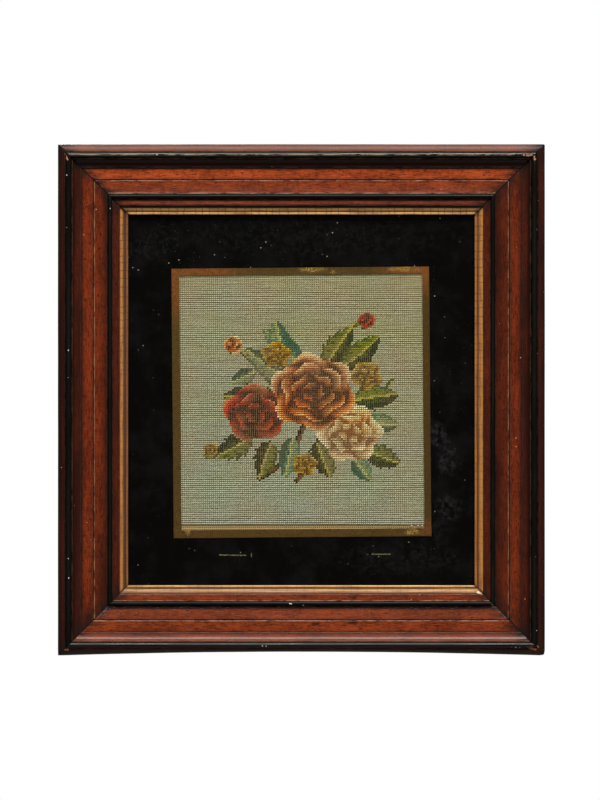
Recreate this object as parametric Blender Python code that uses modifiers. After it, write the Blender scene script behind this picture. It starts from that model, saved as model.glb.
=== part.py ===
"""A needlepoint picture behind reverse-painted glass, in a mitred walnut and ebonised frame.

Metres, +Z up. The picture faces -Y and its flat back lies on the wall plane at y = 0. The origin is
the middle of the top rail's back face, where the picture hangs. A moulding section is drawn in
millimetres as (u, h): u runs inwards from the frame's outer edge, and h stands out from the wall.
"""

import math

import bmesh
import bpy
from mathutils import Matrix, Vector

MM = 0.001

# Overall size
FRAME_WIDTH = 500.0 * MM
FRAME_HEIGHT = 525.0 * MM

# Gap between pieces that touch
GAP = 0.3

# Moulding, across its width
SLOPE_END = 7.2
OUTER_BEAD_START, OUTER_BEAD_END = 7.9, 14.0
OUTER_FILLET_END = 15.6
COVE_END = 22.2
INNER_FILLET_END = 23.8
GROOVE_START, GROOVE_END = 36.0, 37.0
INNER_BEAD_START, INNER_BEAD_END = 50.8, 55.7
STRIP_END = 62.9
SIGHT_EDGE = 71.8
REBATE_WALL = 58.6

# Moulding, out from the wall
SIDE_HEIGHT = 30.0
SLOPE_TOP = 36.5
OUTER_BEAD_TOP = 40.0
OUTER_CHANNEL_FLOOR = 33.5
OUTER_FILLET_HEIGHT = 36.6
COVE_TOP, COVE_FOOT = 35.6, 31.3
PANEL_HEIGHT = 30.4
GROOVE_DEPTH = 1.0
INNER_PANEL_FOOT = 26.6
INNER_BEAD_TOP = 29.4
INNER_CHANNEL_FLOOR = 24.2
STRIP_OUTER_HEIGHT, STRIP_INNER_HEIGHT = 26.4, 25.2
LIP_UNDERSIDE = 20.8
ARC_STEPS = 6

# The bottom rail's outer edge is worn back in the middle
WEAR_DEPTH = 3.9
WEAR_SECTIONS = 12

# Pack in the rebate, front to back, each piece this thick
GLASS_FRONT = 15.2
GLASS_THICKNESS = 2.0
PAINT_THICKNESS = 0.5
PAINT_MARGIN = 2.0
CANVAS_THICKNESS = 1.8
BOARD_THICKNESS = 3.5
PACK_EDGE = REBATE_WALL + GAP

# Gilt slip between the moulding and the glass
SLIP_TOP = 22.4
SLIP_ROUND_WIDTH, SLIP_ROUND_DROP = 2.0, 0.2
SLIP_HOLLOW_START, SLIP_HOLLOW_END = 68.2, 70.1
SLIP_FOOT, SLIP_HOLLOW, SLIP_BEAD_TOP = 19.6, 18.4, 19.2
SLIP_FLANGE_HEIGHT = LIP_UNDERSIDE - GAP

# Window in the black paint: a gilt line round it, set a little crooked and not quite even
LINE_WIDTH, LINE_HEIGHT = 265.0 * MM, 277.4 * MM
LINE_TILT = math.radians(0.5)
LINE_DROP = 2.5 * MM
LINE_LEFT, LINE_RIGHT, LINE_TOP, LINE_BOTTOM = 8.8, 7.1, 7.4, 8.4

# Needlework canvas
CANVAS_WIDTH, CANVAS_HEIGHT = 288.0 * MM, 300.0 * MM

# Brads that hold the board: places along each rebate wall, as shares of its half length
BRAD_PLACES = (-0.5, 0.5)
BRAD_LENGTH = 9.0
BRAD_RADIUS, BRAD_HEAD_RADIUS, BRAD_HEAD_THICKNESS = 0.7, 1.5, 0.8
BRAD_STEPS = 12

# The mount is half way across the rails' flat backs
MOUNT_TO_TOP = REBATE_WALL / 2 * MM
CENTRE_Z = MOUNT_TO_TOP - FRAME_HEIGHT / 2
MITRE_GAP = GAP * MM
MERGE = 0.00001


def clear_scene():
    """Removes what the scene holds at the start."""
    for obj in list(bpy.data.objects):
        bpy.data.objects.remove(obj, do_unlink=True)


def new_collection(name):
    collection = bpy.data.collections.new(name)
    bpy.context.scene.collection.children.link(collection)
    return collection


def material(name, colour, roughness, metallic=0.0, clear=0.0):
    """One Principled material."""
    made = bpy.data.materials.new(name)
    made.use_nodes = True
    shader = made.node_tree.nodes["Principled BSDF"]
    shader.inputs["Base Color"].default_value = (*colour, 1.0)
    shader.inputs["Roughness"].default_value = roughness
    shader.inputs["Metallic"].default_value = metallic
    shader.inputs["Transmission Weight"].default_value = clear
    return made


def arc(centre, radii, start, end, steps=ARC_STEPS):
    """Points of an elliptical arc from one angle to another, in degrees, ends included."""
    points = []
    for step in range(steps + 1):
        angle = math.radians(start + (end - start) * step / steps)
        points.append((centre[0] + radii[0] * math.cos(angle), centre[1] + radii[1] * math.sin(angle)))
    return points


def rail_section():
    """The walnut moulding: worn slope, bead channel, cove, grooved panel, bead channel, sight strip."""
    slope = arc((SLOPE_END, SIDE_HEIGHT), (SLOPE_END, SLOPE_TOP - SIDE_HEIGHT), 180, 90)
    cove_radii = (COVE_END - OUTER_FILLET_END, COVE_TOP - COVE_FOOT)
    cove = arc((COVE_END, COVE_TOP), cove_radii, 180, 270)
    return [
        (0.0, 0.0),
        *slope,
        (OUTER_BEAD_START, SLOPE_TOP),
        (OUTER_BEAD_START, OUTER_CHANNEL_FLOOR),
        (OUTER_BEAD_END, OUTER_CHANNEL_FLOOR),
        (OUTER_BEAD_END, OUTER_FILLET_HEIGHT),
        (OUTER_FILLET_END, OUTER_FILLET_HEIGHT),
        *cove,
        (INNER_FILLET_END, COVE_FOOT),
        (INNER_FILLET_END, PANEL_HEIGHT),
        (GROOVE_START, PANEL_HEIGHT),
        (GROOVE_START, PANEL_HEIGHT - GROOVE_DEPTH),
        (GROOVE_END, PANEL_HEIGHT - GROOVE_DEPTH),
        (GROOVE_END, PANEL_HEIGHT),
        (INNER_BEAD_START, INNER_PANEL_FOOT),
        (INNER_BEAD_START, INNER_CHANNEL_FLOOR),
        (INNER_BEAD_END, INNER_CHANNEL_FLOOR),
        (INNER_BEAD_END, STRIP_OUTER_HEIGHT),
        (STRIP_END, STRIP_INNER_HEIGHT),
        (STRIP_END, LIP_UNDERSIDE),
        (REBATE_WALL, LIP_UNDERSIDE),
        (REBATE_WALL, 0.0),
    ]


def bead_section(start, end, floor, top):
    """A half-round bead on a flat tongue that fills its channel."""
    left, right, foot = start + GAP, end - GAP, floor + GAP
    radius = (right - left) / 2
    crown = arc((left + radius, top - radius), (radius, radius), 180, 0, 2 * ARC_STEPS)
    return [(left, foot), *crown, (right, foot)]


def slip_section():
    """The gilt slip: a flange under the moulding's lip, a slope, a hollow and a fine sight bead."""
    bead_radius = (SIGHT_EDGE - SLIP_HOLLOW_END) / 2
    sight_bead = arc(
        (SLIP_HOLLOW_END + bead_radius, SLIP_BEAD_TOP - bead_radius), (bead_radius, bead_radius), 180, 0
    )
    return [
        (PACK_EDGE, GLASS_FRONT + GAP),
        (PACK_EDGE, SLIP_FLANGE_HEIGHT),
        (STRIP_END + GAP, SLIP_FLANGE_HEIGHT),
        (STRIP_END + GAP, SLIP_TOP),
        (STRIP_END + SLIP_ROUND_WIDTH, SLIP_TOP - SLIP_ROUND_DROP),
        (SLIP_HOLLOW_START, SLIP_FOOT),
        (SLIP_HOLLOW_START, SLIP_HOLLOW),
        (SLIP_HOLLOW_END, SLIP_HOLLOW),
        *sight_bead,
        (SIGHT_EDGE, GLASS_FRONT + GAP),
    ]


def outline_mesh(name, outlines, depth):
    """A flat outline, holes included, filled and given its depth along Z, as a closed mesh."""
    curve = bpy.data.curves.new(name, "CURVE")
    curve.dimensions = "2D"
    curve.fill_mode = "BOTH"
    curve.extrude = depth / 2
    for points in outlines:
        spline = curve.splines.new("POLY")
        spline.points.add(len(points) - 1)
        spline.use_cyclic_u = True
        for place, (x, y) in zip(spline.points, points):
            place.co = (x, y, 0.0, 1.0)
    drawn = bpy.data.objects.new(name + "_outline", curve)
    bpy.context.scene.collection.objects.link(drawn)
    graph = bpy.context.evaluated_depsgraph_get()
    mesh = bpy.data.meshes.new_from_object(drawn.evaluated_get(graph))
    bpy.data.objects.remove(drawn, do_unlink=True)
    bpy.data.curves.remove(curve)
    mesh.name = name
    shape = bmesh.new()
    shape.from_mesh(mesh)
    bmesh.ops.remove_doubles(shape, verts=shape.verts, dist=MERGE)
    bmesh.ops.recalc_face_normals(shape, faces=shape.faces)
    shape.to_mesh(mesh)
    shape.free()
    return mesh


def mitred(mesh, length, sections=1):
    """Turns an extruded section to lie along X, cross-cuts it and mitres both of its ends."""
    lay_along_x = Matrix(((0, 0, 1, 0), (0, -1, 0, 0), (-1, 0, 0, 0), (0, 0, 0, 1)))
    shape = bmesh.new()
    shape.from_mesh(mesh)
    bmesh.ops.transform(shape, matrix=lay_along_x, verts=shape.verts)
    for section in range(1, sections):
        cut_at = Vector((length * (section / sections - 0.5), 0, 0))
        everything = shape.verts[:] + shape.edges[:] + shape.faces[:]
        bmesh.ops.bisect_plane(shape, geom=everything, plane_co=cut_at, plane_no=(1, 0, 0))
    for side in (-1, 1):
        normal = Vector((side, 0, -1)).normalized()
        corner = Vector((side * length / 2, 0, 0)) - normal * MITRE_GAP / 2
        everything = shape.verts[:] + shape.edges[:] + shape.faces[:]
        bmesh.ops.bisect_plane(
            shape, geom=everything, plane_co=corner, plane_no=normal, clear_outer=True, dist=MERGE
        )
        open_edges = [edge for edge in shape.edges if edge.is_boundary]
        bmesh.ops.contextual_create(shape, geom=open_edges)
    bmesh.ops.recalc_face_normals(shape, faces=shape.faces)
    shape.to_mesh(mesh)
    shape.free()


def wear_back(mesh, length):
    """Wears the outer side and slope back along the middle of a rail, most at its middle."""
    slope_end = SLOPE_END * MM
    for vertex in mesh.vertices:
        across = -vertex.co.z
        if across < slope_end:
            bow = WEAR_DEPTH * MM * (1 - (2 * vertex.co.x / length) ** 2)
            vertex.co.z -= bow * (1 - across / slope_end)


def shade(mesh):
    mesh.shade_smooth()
    mesh.set_sharp_from_angle(angle=math.radians(30))


def add(collection, name, mesh, finish, location=(0, 0, 0), turn=0.0):
    """Puts a mesh into the scene at its place, turned about the axis that faces the viewer."""
    mesh.materials.clear()
    mesh.materials.append(finish)
    obj = bpy.data.objects.new(name, mesh)
    obj.location = location
    obj.rotation_euler = (0, turn, 0)
    collection.objects.link(obj)
    return obj


# Each side of the frame: its name, where its outer edge lies, its turn and its length
SIDES = (
    ("top", (0, 0, CENTRE_Z + FRAME_HEIGHT / 2), 0.0, FRAME_WIDTH),
    ("bottom", (0, 0, CENTRE_Z - FRAME_HEIGHT / 2), math.pi, FRAME_WIDTH),
    ("left", (-FRAME_WIDTH / 2, 0, CENTRE_Z), -math.pi / 2, FRAME_HEIGHT),
    ("right", (FRAME_WIDTH / 2, 0, CENTRE_Z), math.pi / 2, FRAME_HEIGHT),
)


def build_moulding(collection, name, section, finish):
    """One mitred length of a moulding on each side of the frame."""
    outline = [(u * MM, h * MM) for u, h in section]
    for side, place, turn, length in SIDES:
        worn = name == "rail" and side == "bottom"
        mesh = outline_mesh(f"{name}_{side}", [outline], length)
        mitred(mesh, length, WEAR_SECTIONS if worn else 1)
        if worn:
            wear_back(mesh, length)
        shade(mesh)
        add(collection, f"{name}_{side}", mesh, finish, place, turn)


def rectangle(left, right, low, high, tilt=0.0, drop=0.0):
    """Corners of a rectangle about the frame's centre, tilted anticlockwise to the viewer."""
    corners = ((left, low), (right, low), (right, high), (left, high))
    turn = Matrix.Rotation(tilt, 2)
    return [tuple(turn @ Vector(corner) - Vector((0, drop))) for corner in corners]


def layer(collection, name, outlines, front, thickness, finish):
    """A flat piece of the pack, its front this far out from the wall."""
    mesh = outline_mesh(name, outlines, thickness * MM)
    middle = Matrix.Translation((0, -(front - thickness / 2) * MM, 0))
    mesh.transform(middle @ Matrix.Rotation(math.pi / 2, 4, "X"))
    return add(collection, name, mesh, finish, (0, 0, CENTRE_Z))


def pack_rectangle(inset=0.0):
    """Outline of a piece that fills the rebate."""
    half_width = FRAME_WIDTH / 2 - (PACK_EDGE + inset) * MM
    half_height = FRAME_HEIGHT / 2 - (PACK_EDGE + inset) * MM
    return rectangle(-half_width, half_width, -half_height, half_height)


def build_pack(collection, finishes):
    """The glass, its two painted layers, the needlework and the board behind them."""
    layer(collection, "glass_pane", [pack_rectangle()], GLASS_FRONT, GLASS_THICKNESS, finishes["glass"])

    paint_front = GLASS_FRONT - GLASS_THICKNESS - GAP
    half_width, half_height = LINE_WIDTH / 2, LINE_HEIGHT / 2
    clear = GAP * MM
    wide, high = half_width + clear, half_height + clear
    paint_window = rectangle(-wide, wide, -high, high, LINE_TILT, LINE_DROP)
    paint_outline = [pack_rectangle(PAINT_MARGIN), paint_window]
    layer(collection, "black_coat", paint_outline, paint_front, PAINT_THICKNESS, finishes["paint"])
    line_outer = rectangle(-half_width, half_width, -half_height, half_height, LINE_TILT, LINE_DROP)
    line_inner = rectangle(
        -half_width + LINE_LEFT * MM,
        half_width - LINE_RIGHT * MM,
        -half_height + LINE_BOTTOM * MM,
        half_height - LINE_TOP * MM,
        LINE_TILT,
        LINE_DROP,
    )
    layer(collection, "gilt_line", [line_outer, line_inner], paint_front, PAINT_THICKNESS, finishes["leaf"])

    canvas_front = paint_front - PAINT_THICKNESS - GAP
    half_width, half_height = CANVAS_WIDTH / 2, CANVAS_HEIGHT / 2
    canvas = rectangle(-half_width, half_width, -half_height, half_height, 0.0, LINE_DROP)
    layer(collection, "needlework", [canvas], canvas_front, CANVAS_THICKNESS, finishes["needlework"])

    board_front = canvas_front - CANVAS_THICKNESS - GAP
    layer(collection, "backboard", [pack_rectangle(GAP)], board_front, BOARD_THICKNESS, finishes["board"])
    return board_front - BOARD_THICKNESS


def brad_mesh():
    """A headed brad along Z, head at the lower end, turned from its profile."""
    mesh = bpy.data.meshes.new("brad")
    profile = bmesh.new()
    outline = (
        (0.0, BRAD_LENGTH),
        (BRAD_RADIUS, BRAD_LENGTH),
        (BRAD_RADIUS, BRAD_HEAD_THICKNESS),
        (BRAD_HEAD_RADIUS, BRAD_HEAD_THICKNESS),
        (BRAD_HEAD_RADIUS, 0.0),
        (0.0, 0.0),
    )
    points = [profile.verts.new((radius * MM, 0, height * MM)) for radius, height in outline]
    for above, below in zip(points, points[1:]):
        profile.edges.new((above, below))
    profile.to_mesh(mesh)
    profile.free()
    return mesh


def build_brads(collection, board_back, finish):
    """Two brads on each side, driven into the rebate's wall with their heads on the board."""
    height = board_back - GAP - BRAD_HEAD_RADIUS
    reach = (REBATE_WALL + GAP + BRAD_LENGTH) * MM
    mesh = brad_mesh()
    for side, place, turn, length in SIDES:
        half_run = length / 2 - REBATE_WALL * MM
        for number, share in enumerate(BRAD_PLACES, 1):
            offset = Matrix.Rotation(turn, 3, "Y") @ Vector((share * half_run, -height * MM, -reach))
            brad = add(collection, f"brad_{side}_{number}", mesh, finish, Vector(place) + offset, turn)
            screw = brad.modifiers.new("Turned", "SCREW")
            screw.steps = BRAD_STEPS
            screw.render_steps = BRAD_STEPS
            screw.use_merge_vertices = True
            screw.merge_threshold = MERGE


def main():
    clear_scene()
    collection = new_collection("framed_needlepoint_picture")
    walnut = material("walnut", (0.13, 0.028, 0.010), 0.35)
    ebonised = material("ebonised", (0.006, 0.006, 0.005), 0.25)
    gilt = material("gilt", (0.55, 0.30, 0.09), 0.35, metallic=1.0)
    finishes = {
        "glass": material("glass", (0.95, 0.97, 0.96), 0.03, clear=1.0),
        "paint": material("black_paint", (0.004, 0.004, 0.004), 0.2),
        "leaf": material("gold_leaf", (0.25, 0.13, 0.04), 0.4, metallic=1.0),
        "needlework": material("needlework", (0.26, 0.26, 0.16), 0.9),
        "board": material("board", (0.30, 0.18, 0.09), 0.8),
    }
    build_moulding(collection, "rail", rail_section(), walnut)
    outer_bead = bead_section(OUTER_BEAD_START, OUTER_BEAD_END, OUTER_CHANNEL_FLOOR, OUTER_BEAD_TOP)
    inner_bead = bead_section(INNER_BEAD_START, INNER_BEAD_END, INNER_CHANNEL_FLOOR, INNER_BEAD_TOP)
    build_moulding(collection, "outer_bead", outer_bead, ebonised)
    build_moulding(collection, "inner_bead", inner_bead, ebonised)
    build_moulding(collection, "slip", slip_section(), gilt)
    board_back = build_pack(collection, finishes)
    build_brads(collection, board_back, material("iron", (0.12, 0.11, 0.10), 0.5, metallic=1.0))


main()
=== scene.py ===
"""Looks of a needlepoint picture in a mitred frame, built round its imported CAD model.

Metres, +Z up. The picture faces -Y and its back lies on the wall plane at y = 0. A moulding is
drawn in millimetres as (u, h): u runs inwards from the frame's outer edge, and h stands out from
the wall.
"""

import logging
import math
from collections.abc import Callable, Sequence
from dataclasses import dataclass, field
from enum import Enum
from functools import reduce
from typing import Any, NamedTuple

import bmesh
import bpy
import numpy as np
from mathutils import Matrix, Vector, noise


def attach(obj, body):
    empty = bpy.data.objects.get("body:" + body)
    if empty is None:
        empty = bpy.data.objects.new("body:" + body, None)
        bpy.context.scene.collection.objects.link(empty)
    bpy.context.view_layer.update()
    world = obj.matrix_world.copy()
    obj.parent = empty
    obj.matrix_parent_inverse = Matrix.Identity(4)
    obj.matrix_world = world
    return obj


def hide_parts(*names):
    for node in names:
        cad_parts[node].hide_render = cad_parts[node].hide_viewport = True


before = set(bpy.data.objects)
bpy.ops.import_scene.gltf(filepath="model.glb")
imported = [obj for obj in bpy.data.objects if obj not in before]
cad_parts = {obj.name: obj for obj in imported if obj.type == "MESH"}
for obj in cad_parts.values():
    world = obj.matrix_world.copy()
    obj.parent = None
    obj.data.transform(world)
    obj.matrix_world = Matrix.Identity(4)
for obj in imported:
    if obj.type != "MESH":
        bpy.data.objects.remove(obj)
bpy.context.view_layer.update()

LOG = logging.getLogger("picture")

MM = 0.001
BODY = "root"
FRAME_WIDTH, FRAME_HEIGHT = 500.0, 525.0
CENTRE_Z = -233.2
WINDOW_DROP = 2.5
PIXEL = 1.031
PHOTO_CENTRE = (301.4, 399.9)
SHARP_TURN = 20.0
SMOOTH_UP_TO = math.radians(45)
MERGE = 0.0005
SAW_CUT = 0.002

Colour = tuple[float, float, float, float]
Point = tuple[float, float]
Triple = tuple[float, float, float]
Mesh = bpy.types.Mesh
Piece = bpy.types.Object
Shape = bmesh.types.BMesh
Socket = bpy.types.NodeSocket
Setting = float | Colour | tuple | Socket
Inputs = dict[str | int, Setting]


class Patch(NamedTuple):
    """A soft oval patch of the picture's face: its middle and half size in pixels of the view."""

    at: Point
    reach: Point
    ragged: float
    share: float = 1.0


class Knock(NamedTuple):
    """A place where the finish was knocked off: its middle and reach in pixels of the view."""

    across: float
    down: float
    reach: float


class Stroke(NamedTuple):
    """A stroke of leaf: its middle and size in pixels of the view, and its turn in degrees."""

    across: float
    down: float
    length: float
    width: float
    turn: float


def paint(red: float, green: float, blue: float) -> Colour:
    """Turns a colour of 0 to 255, as seen, into a shader's linear one.

    Args:
        red: Red as seen.
        green: Green as seen.
        blue: Blue as seen.

    Returns:
        The linear colour with full cover.
    """
    parts = [value / 255 for value in (red, green, blue)]
    linear = [p / 12.92 if p <= 0.04045 else ((p + 0.055) / 1.055) ** 2.4 for p in parts]
    return (*linear, 1.0)


def from_picture(across: float, down: float) -> Vector:
    """Gives the place on the picture's face of a point of the 600 by 800 view.

    Args:
        across: Pixels from the view's left.
        down: Pixels from the view's top.

    Returns:
        The place in millimetres, on the wall plane.
    """
    x = (across - PHOTO_CENTRE[0]) * PIXEL
    z = CENTRE_Z + (PHOTO_CENTRE[1] - down) * PIXEL
    return Vector((x, 0.0, z))


def thicken(shape: Shape, depth: float) -> None:
    """Makes a flat shape a closed plate, with its faces turned outwards.

    Args:
        shape: The flat shape.
        depth: The plate's thickness, along z.
    """
    made = bmesh.ops.extrude_face_region(shape, geom=shape.faces[:])
    lifted = [item for item in made["geom"] if isinstance(item, bmesh.types.BMVert)]
    bmesh.ops.translate(shape, vec=(0, 0, depth), verts=lifted)
    bmesh.ops.recalc_face_normals(shape, faces=shape.faces)


def stand(shape: Shape, back: float, tilt: float = 0.0) -> None:
    """Stands a flat shape up in the window, and turns its millimetres into metres.

    Args:
        shape: The shape, drawn flat round its middle.
        back: How far its back stands out from the wall.
        tilt: How far it is turned to the left, in radians.
    """
    place = Matrix.Translation((0, -back, CENTRE_Z - WINDOW_DROP))
    turn = Matrix.Rotation(math.pi / 2, 4, "X") @ Matrix.Rotation(tilt, 4, "Z")
    bmesh.ops.transform(shape, matrix=Matrix.Scale(MM, 4) @ place @ turn, verts=shape.verts)


def hold(mesh: Mesh, name: str, values: np.ndarray) -> None:
    """Keeps a number, a place or a colour at each point, for a finish to read.

    Args:
        mesh: The mesh.
        name: What the finish knows it by.
        values: A row for each point.
    """
    width = values.size // len(mesh.vertices)
    kind, item = {1: ("FLOAT", "value"), 3: ("FLOAT_VECTOR", "vector"), 4: ("FLOAT_COLOR", "color")}[width]
    mesh.attributes.new(name, kind, "POINT").data.foreach_set(item, values.astype(np.float32).ravel())


def soften(mesh: Mesh) -> None:
    """Shades a mesh smooth between its sharp edges."""
    mesh.shade_smooth()
    mesh.set_sharp_from_angle(angle=SMOOTH_UP_TO)


def put(name: str, data: bpy.types.ID) -> Piece:
    """Puts a mesh, lamp or camera in the scene as an object."""
    made = bpy.data.objects.new(name, data)
    bpy.context.scene.collection.objects.link(made)
    return made


def fit(name: str, mesh: Mesh, replaced: str = "") -> Piece:
    """Fits a finished mesh to the picture as a piece that rides with it.

    Args:
        name: The piece's name.
        mesh: Its mesh.
        replaced: The CAD node that it stands for, if it stands for one.

    Returns:
        The piece.
    """
    piece = put(name, mesh)
    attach(piece, BODY)
    if replaced:
        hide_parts(replaced)
    return piece


class Recipe:
    """Adds nodes to one node tree and joins them."""

    def __init__(self, tree: bpy.types.NodeTree) -> None:
        """Takes the tree to fill."""
        self.tree = tree

    def add(self, kind: str, inputs: Inputs | None = None, **settings: Any) -> bpy.types.Node:
        """Adds one node.

        Args:
            kind: The node's type, without its leading ShaderNode.
            inputs: Values or sockets by the name or number of the input.
            **settings: The node's own settings.

        Returns:
            The new node.
        """
        node = self.tree.nodes.new("ShaderNode" + kind)
        for name, value in settings.items():
            setattr(node, name, value)
        for name, value in (inputs or {}).items():
            if isinstance(value, Socket):
                self.tree.links.new(value, node.inputs[name])
            else:
                node.inputs[name].default_value = value
        return node

    def read(self, name: str, output: str = "Fac") -> Socket:
        """Reads a value that the mesh holds at its points."""
        return self.add("Attribute", attribute_name=name).outputs[output]

    def object_place(self) -> Socket:
        """Gives the place in the part's own frame."""
        return self.add("TexCoord").outputs["Object"]

    def parts(self, place: Setting) -> Sequence[Socket]:
        """Parts a place into its x, y and z."""
        return self.add("SeparateXYZ", {0: place}).outputs

    def maths(self, operation: str, *values: Setting) -> Socket:
        """Works out a value from one, two or three others."""
        return self.add("Math", dict(enumerate(values)), operation=operation).outputs[0]

    def times(self, first: Setting, second: Setting) -> Socket:
        """Multiplies two values."""
        return self.maths("MULTIPLY", first, second)

    def larger(self, first: Setting, second: Setting) -> Socket:
        """Gives the larger of two values."""
        return self.maths("MAXIMUM", first, second)

    def capped(self, value: Setting) -> Socket:
        """Keeps a value from passing 1."""
        return self.maths("MINIMUM", value, 1.0)

    def mix(self, share: Setting, first: Setting, second: Setting, blend: str = "MIX") -> Socket:
        """Blends a share of the second colour over the first."""
        inputs = {0: share, 6: first, 7: second}
        return self.add("Mix", inputs, data_type="RGBA", blend_type=blend).outputs[2]

    def spread(
        self, value: Setting, low: float, high: Setting, first: float = 0.0, last: float = 1.0
    ) -> Socket:
        """Eases a value from the range of low to high into that of first to last."""
        inputs = {"Value": value, "From Min": low, "From Max": high, "To Min": first, "To Max": last}
        return self.add("MapRange", inputs, interpolation_type="SMOOTHSTEP").outputs["Result"]

    def placed(self, place: Setting, stretch: Sequence[float], shift: Sequence[float] = (0, 0, 0)) -> Socket:
        """Stretches and shifts a place before a pattern reads it."""
        inputs = {"Vector": place, "Scale": tuple(stretch), "Location": tuple(shift)}
        return self.add("Mapping", inputs).outputs["Vector"]

    def cloud(self, place: Setting, scale: float, detail: float = 2.0, rough: float = 0.5) -> Socket:
        """Gives soft noise from 0 to 1."""
        inputs = {"Vector": place, "Scale": scale, "Detail": detail, "Roughness": rough}
        return self.add("TexNoise", inputs).outputs["Fac"]

    def streaks(self, place: Setting, stretch: Triple, detail: float = 2.0, rough: float = 0.5) -> Socket:
        """Gives soft noise of its own scale along each axis."""
        return self.cloud(self.placed(place, stretch), 1.0, detail, rough)

    def patch(self, place: Setting, spot: Patch) -> Socket:
        """Marks a soft oval patch.

        Args:
            place: The place in the part's frame.
            spot: The patch.

        Returns:
            The patch's share in its middle, 0 outside.
        """
        middle = from_picture(*spot.at) * MM
        stretch = (1 / (spot.reach[0] * PIXEL * MM), 0.0, 1 / (spot.reach[1] * PIXEL * MM))
        shift = (-middle.x * stretch[0], 0.0, -middle.z * stretch[2])
        away = self.add("VectorMath", {0: self.placed(place, stretch, shift)}, operation="LENGTH")
        torn = self.times(self.maths("SUBTRACT", self.cloud(place, 120.0, 4.0, 0.65), 0.5), spot.ragged)
        near = self.spread(self.maths("ADD", away.outputs["Value"], torn), 0.35, 1.0, 1.0, 0.0)
        return self.times(near, spot.share)

    def patches(self, place: Setting, spots: Sequence[Patch]) -> Socket:
        """Marks several patches: where two meet, the stronger one counts."""
        return reduce(self.larger, [self.patch(place, spot) for spot in spots])

    def bump(self, height: Setting, strength: float, distance: float) -> Socket:
        """Turns a height from 0 to 1, which stands for a distance in metres, into a normal."""
        inputs = {"Height": height, "Strength": strength, "Distance": distance}
        return self.add("Bump", inputs).outputs["Normal"]


Filled = dict[str, Socket]


@dataclass(frozen=True)
class Effect:
    """A shared shader effect: a node group, built the first time that it is laid."""

    name: str
    inputs: dict[str, str]
    outputs: dict[str, str]
    fill: Callable[[Recipe, Any], Filled]

    def tree(self) -> bpy.types.NodeTree:
        """Gives the effect's node group.

        Returns:
            The group's tree, which is built once.
        """
        found = bpy.data.node_groups.get(self.name)
        if found:
            return found
        tree = bpy.data.node_groups.new(self.name, "ShaderNodeTree")
        for way, sockets in (("INPUT", self.inputs), ("OUTPUT", self.outputs)):
            for name, kind in sockets.items():
                tree.interface.new_socket(name=name, in_out=way, socket_type="NodeSocket" + kind)
        entry = tree.nodes.new("NodeGroupInput")
        leave = tree.nodes.new("NodeGroupOutput")
        for name, socket in self.fill(Recipe(tree), entry.outputs).items():
            tree.links.new(socket, leave.inputs[name])
        return tree

    def lay(self, r: Recipe, *values: Setting) -> Any:
        """Lays the effect in a material with its inputs' values, in their order, and gives its outputs."""
        return r.add("Group", dict(zip(self.inputs, values, strict=True)), node_tree=self.tree()).outputs


def fill_grain(r: Recipe, given: Any) -> Filled:
    """Draws wood: broad figure, long fibres and short dark pores, all along the place's x.

    Args:
        r: The group's recipe.
        given: The group's inputs.

    Returns:
        The group's outputs by name.
    """
    figure = r.streaks(given["Place"], (26, 80, 80), 4.0, 0.6)
    fibres = r.streaks(given["Place"], (110, 900, 900), 3.0, 0.65)
    curl = r.streaks(given["Place"], (420, 150, 150))
    pores = r.spread(r.streaks(given["Place"], (190, 820, 820)), 0.57, 0.68)
    deep = r.mix(1.0, given["Dark"], paint(164, 164, 164), "MULTIPLY")
    tone = r.maths("MULTIPLY_ADD", figure, 0.38, r.maths("MULTIPLY_ADD", fibres, 0.46, r.times(curl, 0.16)))
    shade = r.mix(r.spread(tone, 0.38, 0.62), given["Dark"], given["Light"])
    pored = r.mix(r.times(pores, given["Pores"]), shade, deep)
    return {"Color": pored, "Height": r.maths("SUBTRACT", r.times(fibres, 0.4), r.times(pores, 0.6))}


def fill_grime(r: Recipe, given: Any) -> Filled:
    """Lays dark grime in the hollows and beside the mitres.

    Args:
        r: The group's recipe.
        given: The group's inputs.

    Returns:
        The group's outputs by name.
    """
    patches = r.streaks(given["Place"], (60, 160, 160), 4.0, 0.6)
    near = r.spread(given["To Mitre"], 0.0, given["Reach"], 1.0, 0.0)
    hollow = r.times(given["Recess"], r.spread(patches, 0.25, 0.6, 0.35, 1.0))
    beside = r.times(near, r.spread(patches, 0.3, 0.65, 0.2, 1.0))
    cover = r.capped(r.times(r.larger(hollow, beside), given["Amount"]))
    return {"Color": r.mix(cover, given["Color"], given["Grime"]), "Mask": cover}


def fill_wear(r: Recipe, given: Any) -> Filled:
    """Finds where an arris is rubbed, in broken lengths."""
    broken = r.spread(r.streaks(given["Place"], (90, 500, 500), 4.0, 0.65), 0.38, 0.62)
    return {"Mask": r.capped(r.times(r.times(given["Arris"], broken), given["Amount"]))}


def fill_specks(r: Recipe, given: Any) -> Filled:
    """Scatters small round specks, as of dust or lost finish.

    Args:
        r: The group's recipe.
        given: The group's inputs.

    Returns:
        The group's outputs by name.
    """
    inputs = {"Vector": given["Place"], "Scale": given["Scale"], "Randomness": 1.0}
    cells = r.add("TexVoronoi", inputs, feature="F1").outputs
    chance = r.add("SeparateColor", {"Color": cells["Color"]}).outputs
    chosen = r.maths("LESS_THAN", chance[0], given["Share"])
    inside = r.maths("LESS_THAN", cells["Distance"], r.times(chance[1], given["Size"]))
    return {"Mask": r.times(chosen, inside)}


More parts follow.
